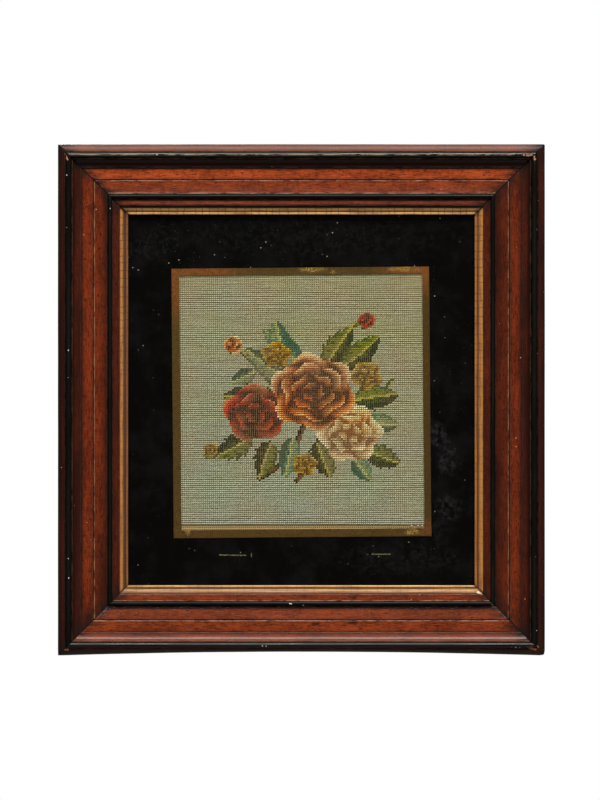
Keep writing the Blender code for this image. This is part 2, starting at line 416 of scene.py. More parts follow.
def fill_cracks(r: Recipe, given: Any) -> Filled:
    """Draws fine cracks across a length, at uneven spaces.

    Args:
        r: The group's recipe.
        given: The group's inputs.

    Returns:
        The group's outputs by name.
    """
    wander = r.times(r.streaks(given["Place"], (40, 300, 300)), 0.004)
    run = r.times(r.maths("ADD", r.parts(given["Place"])[0], wander), given["Per Metre"])
    cells = r.add("TexVoronoi", {"W": run, "Scale": 1.0}, voronoi_dimensions="1D", feature="DISTANCE_TO_EDGE")
    return {"Mask": r.spread(cells.outputs["Distance"], 0.0, given["Width"], 1.0, 0.0)}


MASK = {"Mask": "Float"}
GRAIN = Effect(
    "wood_grain",
    {"Place": "Vector", "Light": "Color", "Dark": "Color", "Pores": "Float"},
    {"Color": "Color", "Height": "Float"},
    fill_grain,
)
GRIME = Effect(
    "grime",
    {
        **{name: "Color" for name in ("Color", "Grime")},
        "Place": "Vector",
        **{name: "Float" for name in ("Recess", "To Mitre", "Reach", "Amount")},
    },
    {"Color": "Color", **MASK},
    fill_grime,
)
WEAR = Effect("edge_wear", {"Place": "Vector", "Arris": "Float", "Amount": "Float"}, MASK, fill_wear)
SPECKS = Effect(
    "specks", {"Place": "Vector", "Scale": "Float", "Share": "Float", "Size": "Float"}, MASK, fill_specks
)
CRACKS = Effect(
    "cross_cracks", {"Place": "Vector", "Per Metre": "Float", "Width": "Float"}, MASK, fill_cracks
)


@dataclass(frozen=True)
class Finish:
    """A finish, made into a material once for each name."""

    name: str

    def material(self) -> bpy.types.Material:
        """Makes the material.

        Returns:
            This finish's material, which is built once.
        """
        found = bpy.data.materials.get(self.name)
        if found:
            return found
        made = bpy.data.materials.new(self.name)
        made.use_nodes = True
        made.node_tree.nodes.clear()
        recipe = Recipe(made.node_tree)
        recipe.add("OutputMaterial", {"Surface": self.surface(recipe)})
        return made

    def surface(self, r: Recipe) -> Socket:
        """Builds the shader."""
        return r.add("BsdfPrincipled", self.looks(r)).outputs[0]

    def looks(self, r: Recipe) -> Inputs:
        """Works out the shader's inputs. Each finish has its own."""
        raise NotImplementedError


@dataclass(frozen=True)
class Walnut(Finish):
    """Polished walnut with grime beside the mitres and rubbed arrises, and with painted shade, sheen and
    highlight lines in bands along each side.
    """

    light: Colour = paint(160, 69, 32)
    dark: Colour = paint(104, 40, 17)
    stain: Colour = paint(38, 17, 12)
    grime: Colour = paint(30, 22, 20)
    rubbed: Colour = paint(150, 106, 84)
    scraped_highlight: Colour = paint(200, 152, 126)
    # Painted sheen: a grey that stands for the light's soft highlight
    sheen_veil: Colour = paint(92, 74, 66)
    dust: Colour = paint(206, 160, 120)
    raw: Colour = paint(166, 100, 68)
    # Black for the open mitres, and for the painted cast shadows where the stain band passes 1
    black: Colour = paint(10, 8, 7)
    wear: float = 0.3
    grime_reach: float = 0.015
    marks: tuple[Patch, ...] = (
        Patch((316, 623), (6, 2.6), 0.9, 0.75),
        Patch((353, 622), (8, 2.0), 0.9, 0.75),
        Patch((354, 597), (4, 2.4), 0.9, 0.75),
    )

    def looks(self, r: Recipe) -> Inputs:
        """Works out the shader's inputs: stained grain with painted shade and sheen, grime, wear with painted
        highlights, dust and chips.

        Args:
            r: The material's recipe.

        Returns:
            The inputs by name.
        """
        place = r.read("rail_place", "Vector")
        stain, sheen_veil, crevice = (r.read(name) for name in ("stain", "sheen_veil", "crevice"))
        grain = GRAIN.lay(r, place, self.light, self.dark, 0.8)
        uneven = r.spread(r.streaks(place, (12, 70, 70), 3.0), 0.3, 0.7, 0.82, 1.08)
        # The stain share paints real dark stain and painted shade alike; past 1 it blends to black, a painted
        # cast shadow under the beads
        toned = r.mix(r.capped(r.times(stain, uneven)), grain["Color"], self.stain)
        toned = r.mix(r.spread(stain, 1.0, 2.0), toned, self.black)
        # Painted sheen: the grey veil lies on the faces that look up to the light, and it also dulls their
        # gloss
        streaks = r.spread(r.streaks(place, (24, 420, 420), 3.0, 0.6), 0.35, 0.65, 0.6, 1.15)
        toned = r.mix(r.capped(r.times(sheen_veil, streaks)), toned, self.sheen_veil)
        for mark in self.marks:
            toned = r.mix(r.patch(r.object_place(), mark), toned, self.stain)
        recess, to_mitre = r.read("recess"), r.read("to_mitre")
        grime = GRIME.lay(r, toned, self.grime, place, recess, to_mitre, self.grime_reach, 0.95)
        worn = r.mix(WEAR.lay(r, place, r.read("arris"), self.wear)[0], grime["Color"], self.rubbed)
        # Pale lines at chosen corners: partly rubbed wear, partly painted highlight where the light catches
        # an arris
        worn = r.mix(WEAR.lay(r, place, r.read("rub_highlight"), 1.05)[0], worn, self.scraped_highlight)
        dusted = r.mix(r.times(SPECKS.lay(r, place, 230.0, 0.05, 0.16)[0], 0.5), worn, self.dust)
        bared = r.mix(r.spread(r.read("chip"), 0.4, 0.55), dusted, self.raw)
        dull = r.larger(r.times(grime["Mask"], 0.25), r.spread(sheen_veil, 0.0, 0.5))
        rough = r.maths("MULTIPLY_ADD", grain["Height"], 0.08, r.spread(dull, 0.0, 1.0, 0.18, 0.58))
        return {
            "Base Color": r.mix(r.spread(crevice, 0.02, 0.3), bared, self.black),
            "Roughness": r.larger(rough, r.spread(crevice, 0.0, 0.1, 0.0, 0.95)),
            "Normal": r.bump(grain["Height"], 0.3, 0.0002),
            "Specular IOR Level": 0.22,
            "Coat Weight": 0.05,
            "Coat Roughness": 0.15,
        }


@dataclass(frozen=True)
class PlainTimber(Finish):
    """Unpolished timber, darker in places with age, as on the backs of the mouldings."""

    light: Colour = paint(176, 132, 92)
    dark: Colour = paint(120, 82, 54)
    aged: Colour = paint(84, 58, 42)
    pores: float = 0.4
    ageing: Triple = (22.0, 3.0, 0.5)
    ageing_range: Point = (0.45, 0.7)
    share: float = 0.4
    rough: Point = (0.75, 0.9)
    relief: float = 0.6
    upright_sheet: bool = False

    def looks(self, r: Recipe) -> Inputs:
        """Works out the shader's inputs: grain that is darker in patches.

        Args:
            r: The material's recipe.

        Returns:
            The inputs by name.
        """
        place = r.object_place() if self.upright_sheet else r.read("rail_place", "Vector")
        turn = (0, math.pi / 2 if self.upright_sheet else 0, 0)
        along = r.add("Mapping", {"Vector": place, "Rotation": turn}).outputs["Vector"]
        grain = GRAIN.lay(r, along, self.light, self.dark, self.pores)
        age = r.spread(r.cloud(place, *self.ageing), *self.ageing_range)
        return {
            "Base Color": r.mix(r.times(age, self.share), grain["Color"], self.aged),
            "Roughness": r.spread(age, 0.0, 1.0, *self.rough),
            "Normal": r.bump(grain["Height"], self.relief, 0.0005),
        }


@dataclass(frozen=True)
class Ebony(Finish):
    """Black ebonised wood, chipped where it was knocked."""

    black: Colour = paint(12, 11, 8)
    brown: Colour = paint(34, 22, 15)
    rubbed: Colour = paint(70, 52, 42)
    raw: Colour = paint(168, 106, 78)
    fleck: Colour = paint(190, 184, 172)
    scuffed_highlight: Colour = paint(158, 152, 128)
    gap: Colour = paint(8, 7, 6)
    gloss: Point = (0.18, 0.50)
    share: float = 0.3

    def looks(self, r: Recipe) -> Inputs:
        """Works out the shader's inputs: thin black over grain, rubbed, flecked, chipped, and with a painted
        highlight on the top bead's crown.

        Args:
            r: The material's recipe.

        Returns:
            The inputs by name.
        """
        place = r.read("rail_place", "Vector")
        grain = GRAIN.lay(r, place, self.brown, self.black, 0.8)
        thin = r.times(r.spread(r.streaks(place, (30, 120, 120), 3.0), 0.5, 0.72), 0.55)
        tone = r.mix(thin, self.black, grain["Color"])
        tone = r.mix(WEAR.lay(r, place, r.read("arris"), 0.35)[0], tone, self.rubbed)
        tone = r.mix(r.times(SPECKS.lay(r, place, 120.0, 0.035, 0.12)[0], 0.55), tone, self.fleck)
        torn = r.times(r.maths("SUBTRACT", r.cloud(place, 700.0, 2.0), 0.5), 0.7)
        chipped = r.spread(r.maths("ADD", r.read("chip"), torn), 0.44, 0.52)
        tone = r.mix(chipped, tone, self.raw)
        tone = r.mix(r.spread(r.read("fleck"), 0.45, 0.6), tone, self.fleck)
        # Painted highlight along the crown of the top outer bead
        tone = r.mix(WEAR.lay(r, place, r.read("rub_highlight"), 1.0)[0], tone, self.scuffed_highlight)
        handled = r.spread(r.streaks(place, (14, 90, 90), 4.0, 0.6), 0.36, 0.62, *self.gloss)
        height = r.maths("SUBTRACT", r.times(grain["Height"], 0.4), chipped)
        return {
            "Base Color": r.mix(r.spread(r.read("crevice"), 0.02, 0.3), tone, self.gap),
            "Roughness": r.maths("MULTIPLY_ADD", chipped, 0.4, handled),
            "Normal": r.bump(height, 0.3, 0.0003),
            "Specular IOR Level": self.share,
            "Coat Weight": 0.05,
            "Coat Roughness": 0.22,
        }


@dataclass(frozen=True)
class Gilding(Finish):
    """Gold leaf over red bole and gesso, with fine cracks across it, most of all at the top, and painted
    shade in bands along it.
    """

    gold: Colour = paint(192, 132, 70)
    brown: Colour = paint(126, 74, 34)
    bole: Colour = paint(84, 42, 15)
    gesso: Colour = paint(196, 158, 118)
    chipped: Colour = paint(222, 186, 150)
    crack: Colour = paint(44, 28, 18)
    grime_reach: float = 0.003
    cracks_per_metre: float = 120.0
    cracks_thin_out: Point = (-0.3, -0.1)

    def looks(self, r: Recipe) -> Inputs:
        """Works out the shader's inputs: rubbed leaf, dark bands of bole and painted shade, grime, cracks and
        chips.

        Args:
            r: The material's recipe.

        Returns:
            The inputs by name.
        """
        place = r.read("rail_place", "Vector")
        rubs = r.spread(r.streaks(place, (45, 420, 420), 4.0, 0.6), 0.42, 0.68)
        thin = r.cloud(r.placed(place, (70, 600, 600), (0.4, 0.2, 0)), 1.0, 3.0, 0.6)
        tone = r.mix(r.times(rubs, 0.75), self.gold, self.brown)
        tone = r.mix(r.spread(thin, 0.52, 0.68, 0.0, 0.55), tone, self.gesso)
        stain = r.read("stain")
        lines = r.spread(r.streaks(place, (14, 1300, 1300), 3.0, 0.6), 0.3, 0.7, 0.7, 1.2)
        banded = r.capped(r.times(stain, lines))
        # Past a share of 1 the band turns to the crack colour, a painted shadow such as the lip's on the top
        # slip
        tone = r.mix(r.spread(stain, 1.0, 2.0), r.mix(banded, tone, self.bole), self.crack)
        recess, to_mitre = r.read("recess"), r.read("to_mitre")
        grime = GRIME.lay(r, tone, self.bole, place, recess, to_mitre, self.grime_reach, 1.0)
        cracks = CRACKS.lay(r, place, self.cracks_per_metre, 0.06)[0]
        ticks = r.spread(r.parts(r.object_place())[2], *self.cracks_thin_out, 0.4, 0.9)
        tone = r.mix(r.times(cracks, ticks), grime["Color"], self.crack)
        tone = r.mix(r.spread(r.read("chip"), 0.4, 0.55), tone, self.chipped)
        cover = r.times(r.larger(banded, grime["Mask"]), 0.55)
        return {
            "Base Color": r.mix(r.times(r.spread(r.read("crevice"), 0.02, 0.4), 0.8), tone, self.crack),
            "Metallic": r.maths("SUBTRACT", 0.3, r.times(cover, 0.5)),
            "Roughness": r.spread(rubs, 0.0, 1.0, 0.5, 0.65),
            "Normal": r.bump(r.maths("ADD", r.times(cracks, -0.8), r.times(rubs, -0.2)), 0.4, 0.0002),
        }


@dataclass(frozen=True)
class PictureGlass(Finish):
    """Thin clear glass: light goes straight through it, and its faces mirror a little."""

    tint: Colour = paint(250, 252, 248)
    mirrored: Colour = paint(255, 255, 255)
    index: float = 1.45

    def surface(self, r: Recipe) -> Socket:
        """Builds the shader.

        Args:
            r: The material's recipe.

        Returns:
            The shader's output.
        """
        through = r.add("BsdfTransparent", {"Color": self.tint})
        ripple = r.bump(r.streaks(r.object_place(), (9, 9, 5), 4.0, 0.6), 0.02, 0.001)
        mirror = r.add("BsdfGlossy", {"Color": self.mirrored, "Roughness": 0.03, "Normal": ripple})
        entering = r.maths("SUBTRACT", 1.0, r.add("NewGeometry").outputs["Backfacing"])
        share = r.times(r.add("Fresnel", {"IOR": self.index}).outputs[0], entering)
        return r.add("MixShader", {0: share, 1: through.outputs[0], 2: mirror.outputs[0]}).outputs[0]


@dataclass(frozen=True)
class BlackPaint(Finish):
    """Black paint behind the glass, with dust, fine specks and grey bloom."""

    black: Colour = paint(7, 6, 6)
    bloom: Colour = paint(40, 37, 42)
    dust: Colour = paint(176, 172, 158)
    dust_thins_out: Point = (-0.24, -0.10)
    blooms: tuple[Patch, ...] = (
        Patch((437, 434), (13, 17), 1.6, 0.9),
        Patch((447, 457), (14, 27), 1.2, 0.75),
        Patch((449, 508), (17, 17), 1.2, 0.65),
        Patch((440, 525), (12, 30), 1.2, 0.35),
        Patch((150, 246), (40, 24), 1.2, 0.35),
        Patch((400, 558), (84, 22), 1.2, 0.3),
        Patch((300, 236), (200, 34), 1.2, 0.25),
    )

    def looks(self, r: Recipe) -> Inputs:
        """Works out the shader's inputs: black under blotches of bloom and two sizes of specks.

        Args:
            r: The material's recipe.

        Returns:
            The inputs by name.
        """
        place = r.object_place()
        clouds = r.cloud(place, 34.0, 5.0, 0.62)
        broken = r.spread(r.cloud(place, 170.0, 5.0, 0.7), 0.42, 0.60)
        blooms = r.times(r.patches(place, self.blooms), broken)
        bloomed = r.mix(r.larger(blooms, r.spread(clouds, 0.42, 0.66, 0.0, 0.16)), self.black, self.bloom)
        higher = r.spread(r.parts(place)[2], *self.dust_thins_out, 0.5, 1.0)
        where = r.times(higher, r.spread(r.cloud(place, 16.0, 2.0), 0.38, 0.5, 0.2, 1.0))
        fine = SPECKS.lay(r, place, 360.0, 0.24, 0.24)[0]
        coarse = SPECKS.lay(r, r.placed(place, (1, 1, 1), (0.3, 0, 0.1)), 190.0, 0.12, 0.18)[0]
        dusted = r.mix(r.times(fine, r.times(where, 0.3)), bloomed, self.dust)
        return {
            "Base Color": r.mix(r.times(coarse, where), dusted, self.dust),
            "Roughness": r.spread(clouds, 0.3, 0.7, 0.5, 0.7),
            "Normal": r.bump(clouds, 0.1, 0.0003),
            "Specular IOR Level": 0.0,
        }


@dataclass(frozen=True)
class GoldLeaf(Finish):
    """Tarnished leaf behind the glass: copper at the top left, olive gold elsewhere."""

    copper: Colour = paint(122, 71, 36)
    olive: Colour = paint(85, 62, 31)
    brown: Colour = paint(76, 53, 25)
    bright: Colour = paint(188, 148, 82)
    stain: Colour = paint(58, 42, 20)
    browner_from: Point = (0.10, 0.14)
    coppered: tuple[Patch, ...] = (
        Patch((180, 270), (80, 62), 0.5),
        Patch((420, 268), (52, 34), 0.6),
        Patch((428, 528), (14, 14), 0.6, 0.5),
    )
    glints: tuple[Patch, ...] = (
        Patch((312, 269), (16, 5), 1.6),
        Patch((333, 272.5), (4, 3), 1.8),
        Patch((402, 269), (18, 4), 1.8),
        Patch((188, 530), (4, 6), 1.8),
        Patch((413, 532), (9, 4), 1.8),
    )

    def looks(self, r: Recipe) -> Inputs:
        """Works out the shader's inputs: two tones and copper, stained, with a few bright glints.

        Args:
            r: The material's recipe.

        Returns:
            The inputs by name.
        """
        place = r.object_place()
        tone = r.mix(r.spread(r.parts(place)[0], *self.browner_from), self.olive, self.brown)
        tone = r.mix(r.patches(place, self.coppered), tone, self.copper)
        stains = r.cloud(place, 420.0, 5.0, 0.7)
        tone = r.mix(r.spread(stains, 0.44, 0.64, 0.0, 0.6), tone, self.stain)
        crumbs = r.spread(r.cloud(place, 700.0, 3.0, 0.7), 0.46, 0.6)
        tone = r.mix(r.times(r.patches(place, self.glints), crumbs), tone, self.bright)
        return {
            "Base Color": r.mix(r.times(SPECKS.lay(r, place, 420.0, 0.12, 0.25)[0], 0.4), tone, self.bright),
            "Metallic": 0.1,
            "Roughness": r.spread(stains, 0.3, 0.7, 0.5, 0.65),
            "Normal": r.bump(stains, 0.25, 0.0002),
            "Specular IOR Level": 0.05,
        }


@dataclass(frozen=True)
class LeafStroke(Finish):
    """Thin leaf that shows dimly through the paint, broken along its length."""

    leaf: Colour = paint(122, 108, 78)
    paint_over: Colour = paint(30, 27, 22)

    def looks(self, r: Recipe) -> Inputs:
        """Works out the shader's inputs: leaf with paint over it in places.

        Args:
            r: The material's recipe.

        Returns:
            The inputs by name.
        """
        broken = r.spread(r.cloud(r.object_place(), 420.0, 3.0, 0.6), 0.46, 0.66)
        return {
            "Base Color": r.mix(broken, self.leaf, self.paint_over),
            "Roughness": r.spread(broken, 0.0, 1.0, 0.45, 0.6),
            "Normal": r.bump(broken, 0.2, 0.0001),
        }


@dataclass(frozen=True)
class Wool(Finish):
    """Twisted wool yarn in the colour that each stitch holds."""

    fuzz: Colour = paint(214, 206, 178)
    shade_between_plies: Colour = paint(40, 34, 24)
    twist: Point = (5200.0, 4200.0)

    def looks(self, r: Recipe) -> Inputs:
        """Works out the shader's inputs: painted shade between the plies and a few pale fibres.

        Args:
            r: The material's recipe.

        Returns:
            The inputs by name.
        """
        strand = r.parts(r.read("strand", "Vector"))
        run = r.maths("ADD", r.times(strand[0], self.twist[0]), r.times(strand[1], self.twist[1]))
        plies = r.maths("SINE", run)
        fibres = r.cloud(r.object_place(), 3800.0, 2.0, 0.6)
        # Painted shade in the grooves between the plies
        shaded = r.mix(r.spread(plies, -1.0, 0.2, 0.22, 0.0), r.read("wool", "Color"), self.shade_between_plies)
        return {
            "Base Color": r.mix(r.spread(fibres, 0.55, 0.8, 0.0, 0.06), shaded, self.fuzz),
            "Roughness": r.spread(fibres, 0.3, 0.7, 0.82, 0.95),
            "Normal": r.bump(r.maths("ADD", r.times(plies, 0.5), fibres), 0.5, 0.0001),
            "Sheen Weight": 0.04,
            "Sheen Roughness": 0.5,
            "Specular IOR Level": 0.2,
        }


@dataclass(frozen=True)
class CanvasCloth(Finish):
    """Open cotton canvas: threads over and under each other at the stitch pitch."""

    pitch: float
    thread: Colour = paint(196, 160, 118)
    soiled: Colour = paint(134, 96, 66)
    hole_shade: Colour = paint(76, 72, 52)
    bare_below: Point = (-0.3650, -0.3625)

    def looks(self, r: Recipe) -> Inputs:
        """Works out the shader's inputs: the weave, in shadow but for its bare lowest rows.

        Args:
            r: The material's recipe.

        Returns:
            The inputs by name.
        """
        place = r.object_place()
        parts = r.parts(place)
        turns = 2 * math.pi / self.pitch
        warp, weft = (r.spread(r.maths("SINE", r.times(parts[axis], turns)), -0.4, 0.7) for axis in (0, 2))
        thread = r.larger(warp, weft)
        slubs = r.cloud(place, 900.0, 3.0, 0.6)
        tone = r.mix(r.spread(slubs, 0.3, 0.75, 0.0, 0.5), self.thread, self.soiled)
        # Painted shadow: the canvas under the stitches is blended towards the dark hole colour, but for its
        # bare lowest rows
        tone = r.mix(r.spread(parts[2], *self.bare_below, 1.0, 0.0), r.mix(0.6, tone, self.hole_shade), tone)
        return {
            # The holes between the threads are painted dark for the shade in them
            "Base Color": r.mix(thread, self.hole_shade, tone),
            "Roughness": r.spread(slubs, 0.3, 0.7, 0.85, 0.95),
            "Normal": r.bump(r.maths("ADD", thread, r.times(slubs, 0.3)), 0.8, 0.0004),
            "Specular IOR Level": 0.2,
        }


@dataclass(frozen=True)
class Iron(Finish):
    """Dull iron with a little rust."""

    steel: Colour = paint(96, 92, 88)
    rust: Colour = paint(110, 62, 36)

    def looks(self, r: Recipe) -> Inputs:
        """Works out the shader's inputs: dull metal with patches of rust.

        Args:
            r: The material's recipe.

        Returns:
            The inputs by name.
        """
        patches = r.cloud(r.object_place(), 1400.0, 4.0, 0.6)
        rusted = r.spread(patches, 0.45, 0.62)
        return {
            "Base Color": r.mix(rusted, self.steel, self.rust),
            "Metallic": r.spread(rusted, 0.0, 1.0, 0.9, 0.1),
            "Roughness": r.spread(rusted, 0.0, 1.0, 0.42, 0.85),
            "Normal": r.bump(patches, 0.4, 0.0001),
        }


@dataclass(frozen=True)
class PaleFloor(Finish):
    """Plain pale studio floor, darker to all but the camera."""

    tone: Colour = paint(226, 225, 222)
    clouded: Colour = paint(216, 215, 212)
    unseen: Colour = paint(112, 112, 112)

    def looks(self, r: Recipe) -> Inputs:
        """Works out the shader's inputs: a pale tone with faint clouds.

        Args:
            r: The material's recipe.

        Returns:
            The inputs by name.
        """
        cloud = r.cloud(r.object_place(), 3.0, 3.0)
        tone = r.mix(r.spread(cloud, 0.3, 0.7, 0.0, 0.2), self.tone, self.clouded)
        seen = r.add("LightPath").outputs["Is Camera Ray"]
        return {
            "Base Color": r.mix(seen, self.unseen, tone),
            "Roughness": r.spread(cloud, 0.3, 0.7, 0.7, 0.8),
        }


class Side(Enum):
    """A side of the frame, and the way that its lengths are turned about the axis to the viewer."""

    TOP = ("top", 0.0)
    BOTTOM = ("bottom", math.pi)
    LEFT = ("left", -math.pi / 2)
    RIGHT = ("right", math.pi / 2)

    @property
    def label(self) -> str:
        """The side's name in the CAD nodes."""
        return self.value[0]

    @property
    def number(self) -> int:
        """The side's place in the order of sides."""
        return list(Side).index(self)

    @property
    def upright(self) -> bool:
        """Whether the side stands upright."""
        return self in (Side.LEFT, Side.RIGHT)

    @property
    def length(self) -> float:
        """Length along the outer edge."""
        return FRAME_HEIGHT if self.upright else FRAME_WIDTH

    @property
    def placing(self) -> Matrix:
        """What turns and carries a length from its own frame to its side, in millimetres.

        Returns:
            The matrix.
        """
        reach = (FRAME_WIDTH if self.upright else FRAME_HEIGHT) / 2
        turn = Matrix.Rotation(self.value[1], 4, "Y")
        return Matrix.Translation((0, 0, CENTRE_Z)) @ turn @ Matrix.Translation((0, 0, reach))


class Corner(Enum):
    """A corner of the frame, with how far its mitre has opened, in millimetres."""

    TOP_LEFT = 1.60
    TOP_RIGHT = 1.50
    BOTTOM_RIGHT = 1.55
    BOTTOM_LEFT = 0.80


MITRES = {
    Side.TOP: (Corner.TOP_LEFT, Corner.TOP_RIGHT),
    Side.RIGHT: (Corner.TOP_RIGHT, Corner.BOTTOM_RIGHT),
    Side.BOTTOM: (Corner.BOTTOM_RIGHT, Corner.BOTTOM_LEFT),
    Side.LEFT: (Corner.BOTTOM_LEFT, Corner.TOP_LEFT),
}

# Chips at the four outer corners, then by the inner bead at the lower right
CHIPS = [
    Knock(*row)
    for row in (
        (66.2, 155.8, 1.8), (67.0, 157.4, 2.0), (67.9, 159.0, 2.1), (68.8, 160.6, 1.9), (523.0, 156.0, 2.2),
        (526.0, 156.8, 2.5), (529.4, 156.4, 2.7), (532.6, 157.4, 2.4), (533.6, 160.0, 2.6),
        (66.5, 649.4, 2.6), (69.5, 648.4, 3.0), (527.0, 646.6, 2.2), (530.0, 646.8, 3.0),
        (533.4, 648.0, 3.2), (536.4, 646.0, 2.6), (478.2, 592.0, 2.4), (480.4, 593.4, 2.2),
        (491.8, 604.6, 2.6),
    )
]
# Pale flecks on the beads: down the left, down the right and the left's inner bead, then along the foot
FLECKS = [
    Knock(*row)
    for row in (
        (158, 156, 1.4), (68, 176, 1.5), (68, 229, 1.2), (69.5, 272, 1.3), (69.6, 350.5, 1.1),
        (69.4, 378, 1.0), (69.6, 390, 1.1), (70.3, 417, 1.3), (69.6, 558, 1.2), (70.0, 577, 1.1),
        (534.4, 555.3, 1.1), (108, 280, 1.0), (109, 350, 1.1), (535.8, 629.7, 1.5), (111, 209, 1.0),
        (263, 644.6, 1.7), (266, 644.8, 1.8), (277, 644.6, 1.4), (506, 645.7, 1.6), (510, 645.9, 1.9),
        (514.5, 646.2, 1.9), (519, 646.4, 1.6), (289.6, 602.8, 1.2), (292.2, 603.2, 1.6),
        (300.4, 604.4, 1.5), (303.6, 604.6, 1.3),
    )
]

# Bands along a length: each row is a place inwards in millimetres and the share there, and 2 is black. The
# shares are real dark stain and painted shade together.
Bands = dict[Side, Sequence[Point]]
# Walnut: dark stain, with painted shadow where the share passes 1, under the beads and in the top cove; each
# side's bands follow how the light falls on it
WALNUT_STAINS_AND_SHADE: Bands = {
    Side.TOP: (
        (0.0, 0.9), (1.0, 0.5), (7.0, 0.5), (14.0, 1.7), (17.6, 1.6), (19.0, 1.2), (24.6, 1.5), (25.6, 0.4),
        (27.0, 0.0), (47.0, 0.0), (50.8, 0.1), (55.7, 1.8), (57.2, 1.7), (58.3, 0.15), (61.0, 0.2),
        (61.9, 1.0), (62.9, 1.5),
    ),
    Side.BOTTOM: (
        (0.0, 1.2), (7.0, 1.0), (14.0, 0.9), (15.6, 0.5), (22.0, 0.4), (24.2, 0.45), (27.0, 0.4),
        (36.0, 0.36), (38.0, 0.5), (46.0, 0.56), (47.6, 0.8), (48.6, 1.4), (50.8, 1.8), (55.7, 0.8),
        (58.0, 0.45), (62.9, 0.6),
    ),
    Side.LEFT: (
        (0.0, 1.05), (6.9, 1.0), (7.4, 1.6), (14.5, 1.7), (15.2, 1.12), (19.0, 0.92), (22.5, 0.9),
        (24.5, 0.65), (28.0, 0.14), (35.0, 0.08), (38.0, 0.12), (42.0, 0.26), (47.0, 0.6), (50.8, 1.0),
        (55.7, 1.0), (58.5, 0.75), (62.9, 0.9),
    ),
    Side.RIGHT: (
        (0.0, 1.0), (6.6, 0.96), (7.2, 1.9), (14.9, 1.9), (15.5, 1.15), (19.0, 0.93), (22.5, 0.9),
        (24.5, 0.7), (28.0, 0.34), (35.0, 0.26), (38.0, 0.5), (42.0, 0.62), (47.0, 0.78), (50.8, 1.0),
        (55.7, 0.95), (58.5, 0.66), (62.9, 0.8),
    ),
}
# Gilt: bole that shows, with painted shade; the black band at the top slip's outer edge is the lip's painted
# shadow
GILT_BOLE_AND_SHADE: Bands = {
    Side.TOP: (
        (63.0, 2.0), (64.9, 1.9), (65.5, 0.34), (67.6, 0.12), (67.9, 0.8), (69.2, 0.6), (69.4, 0.0),
        (71.4, 0.0), (71.8, 0.6),
    ),
    Side.BOTTOM: (
        (63.0, 1.2), (65.2, 1.0), (65.8, 0.82), (67.5, 0.7), (67.9, 0.98), (69.2, 0.98), (69.5, 0.44),
        (71.3, 0.5), (71.8, 0.8),
    ),
    Side.LEFT: (
        (63.0, 0.9), (64.2, 0.4), (65.0, 0.15), (66.2, 0.3), (67.2, 1.0), (67.9, 1.4), (69.3, 1.4),
        (69.8, 0.74), (71.8, 0.9),
    ),
    Side.RIGHT: (
        (63.0, 0.3), (63.8, 0.0), (66.4, 0.0), (67.0, 0.6), (67.5, 0.2), (68.0, 1.1), (69.3, 1.1),
        (69.8, 0.35), (71.8, 0.7),
    ),
}
# Painted sheen on the top rail's upward faces and the bottom cove, where the light catches them
WALNUT_SHEEN_VEILS: Bands = {
    Side.TOP: (
        (0.0, 0.1), (0.8, 0.5), (6.6, 0.55), (7.6, 0.0), (38.0, 0.0), (42.0, 0.12), (50.6, 0.26),
        (51.0, 0.0), (57.6, 0.0), (58.3, 0.16), (61.4, 0.16), (62.2, 0.0),
    ),
    Side.BOTTOM: ((14.2, 0.05), (15.2, 0.2), (22.0, 0.26), (23.0, 0.2), (23.9, 0.16), (24.2, 0.0)),
}


def arc(centre: Point, radii: Point, start: float, end: float, steps: int) -> list[Point]:
    """Gives points of an elliptical arc, ends included.

    Args:
        centre: The middle.
        radii: Its two half widths.
        start: First angle in degrees.
        end: Last angle in degrees.
        steps: Number of steps between them.

    Returns:
        The points.
    """
    angles = [math.radians(start + (end - start) * step / steps) for step in range(steps + 1)]
    return [(centre[0] + radii[0] * math.cos(a), centre[1] + radii[1] * math.sin(a)) for a in angles]


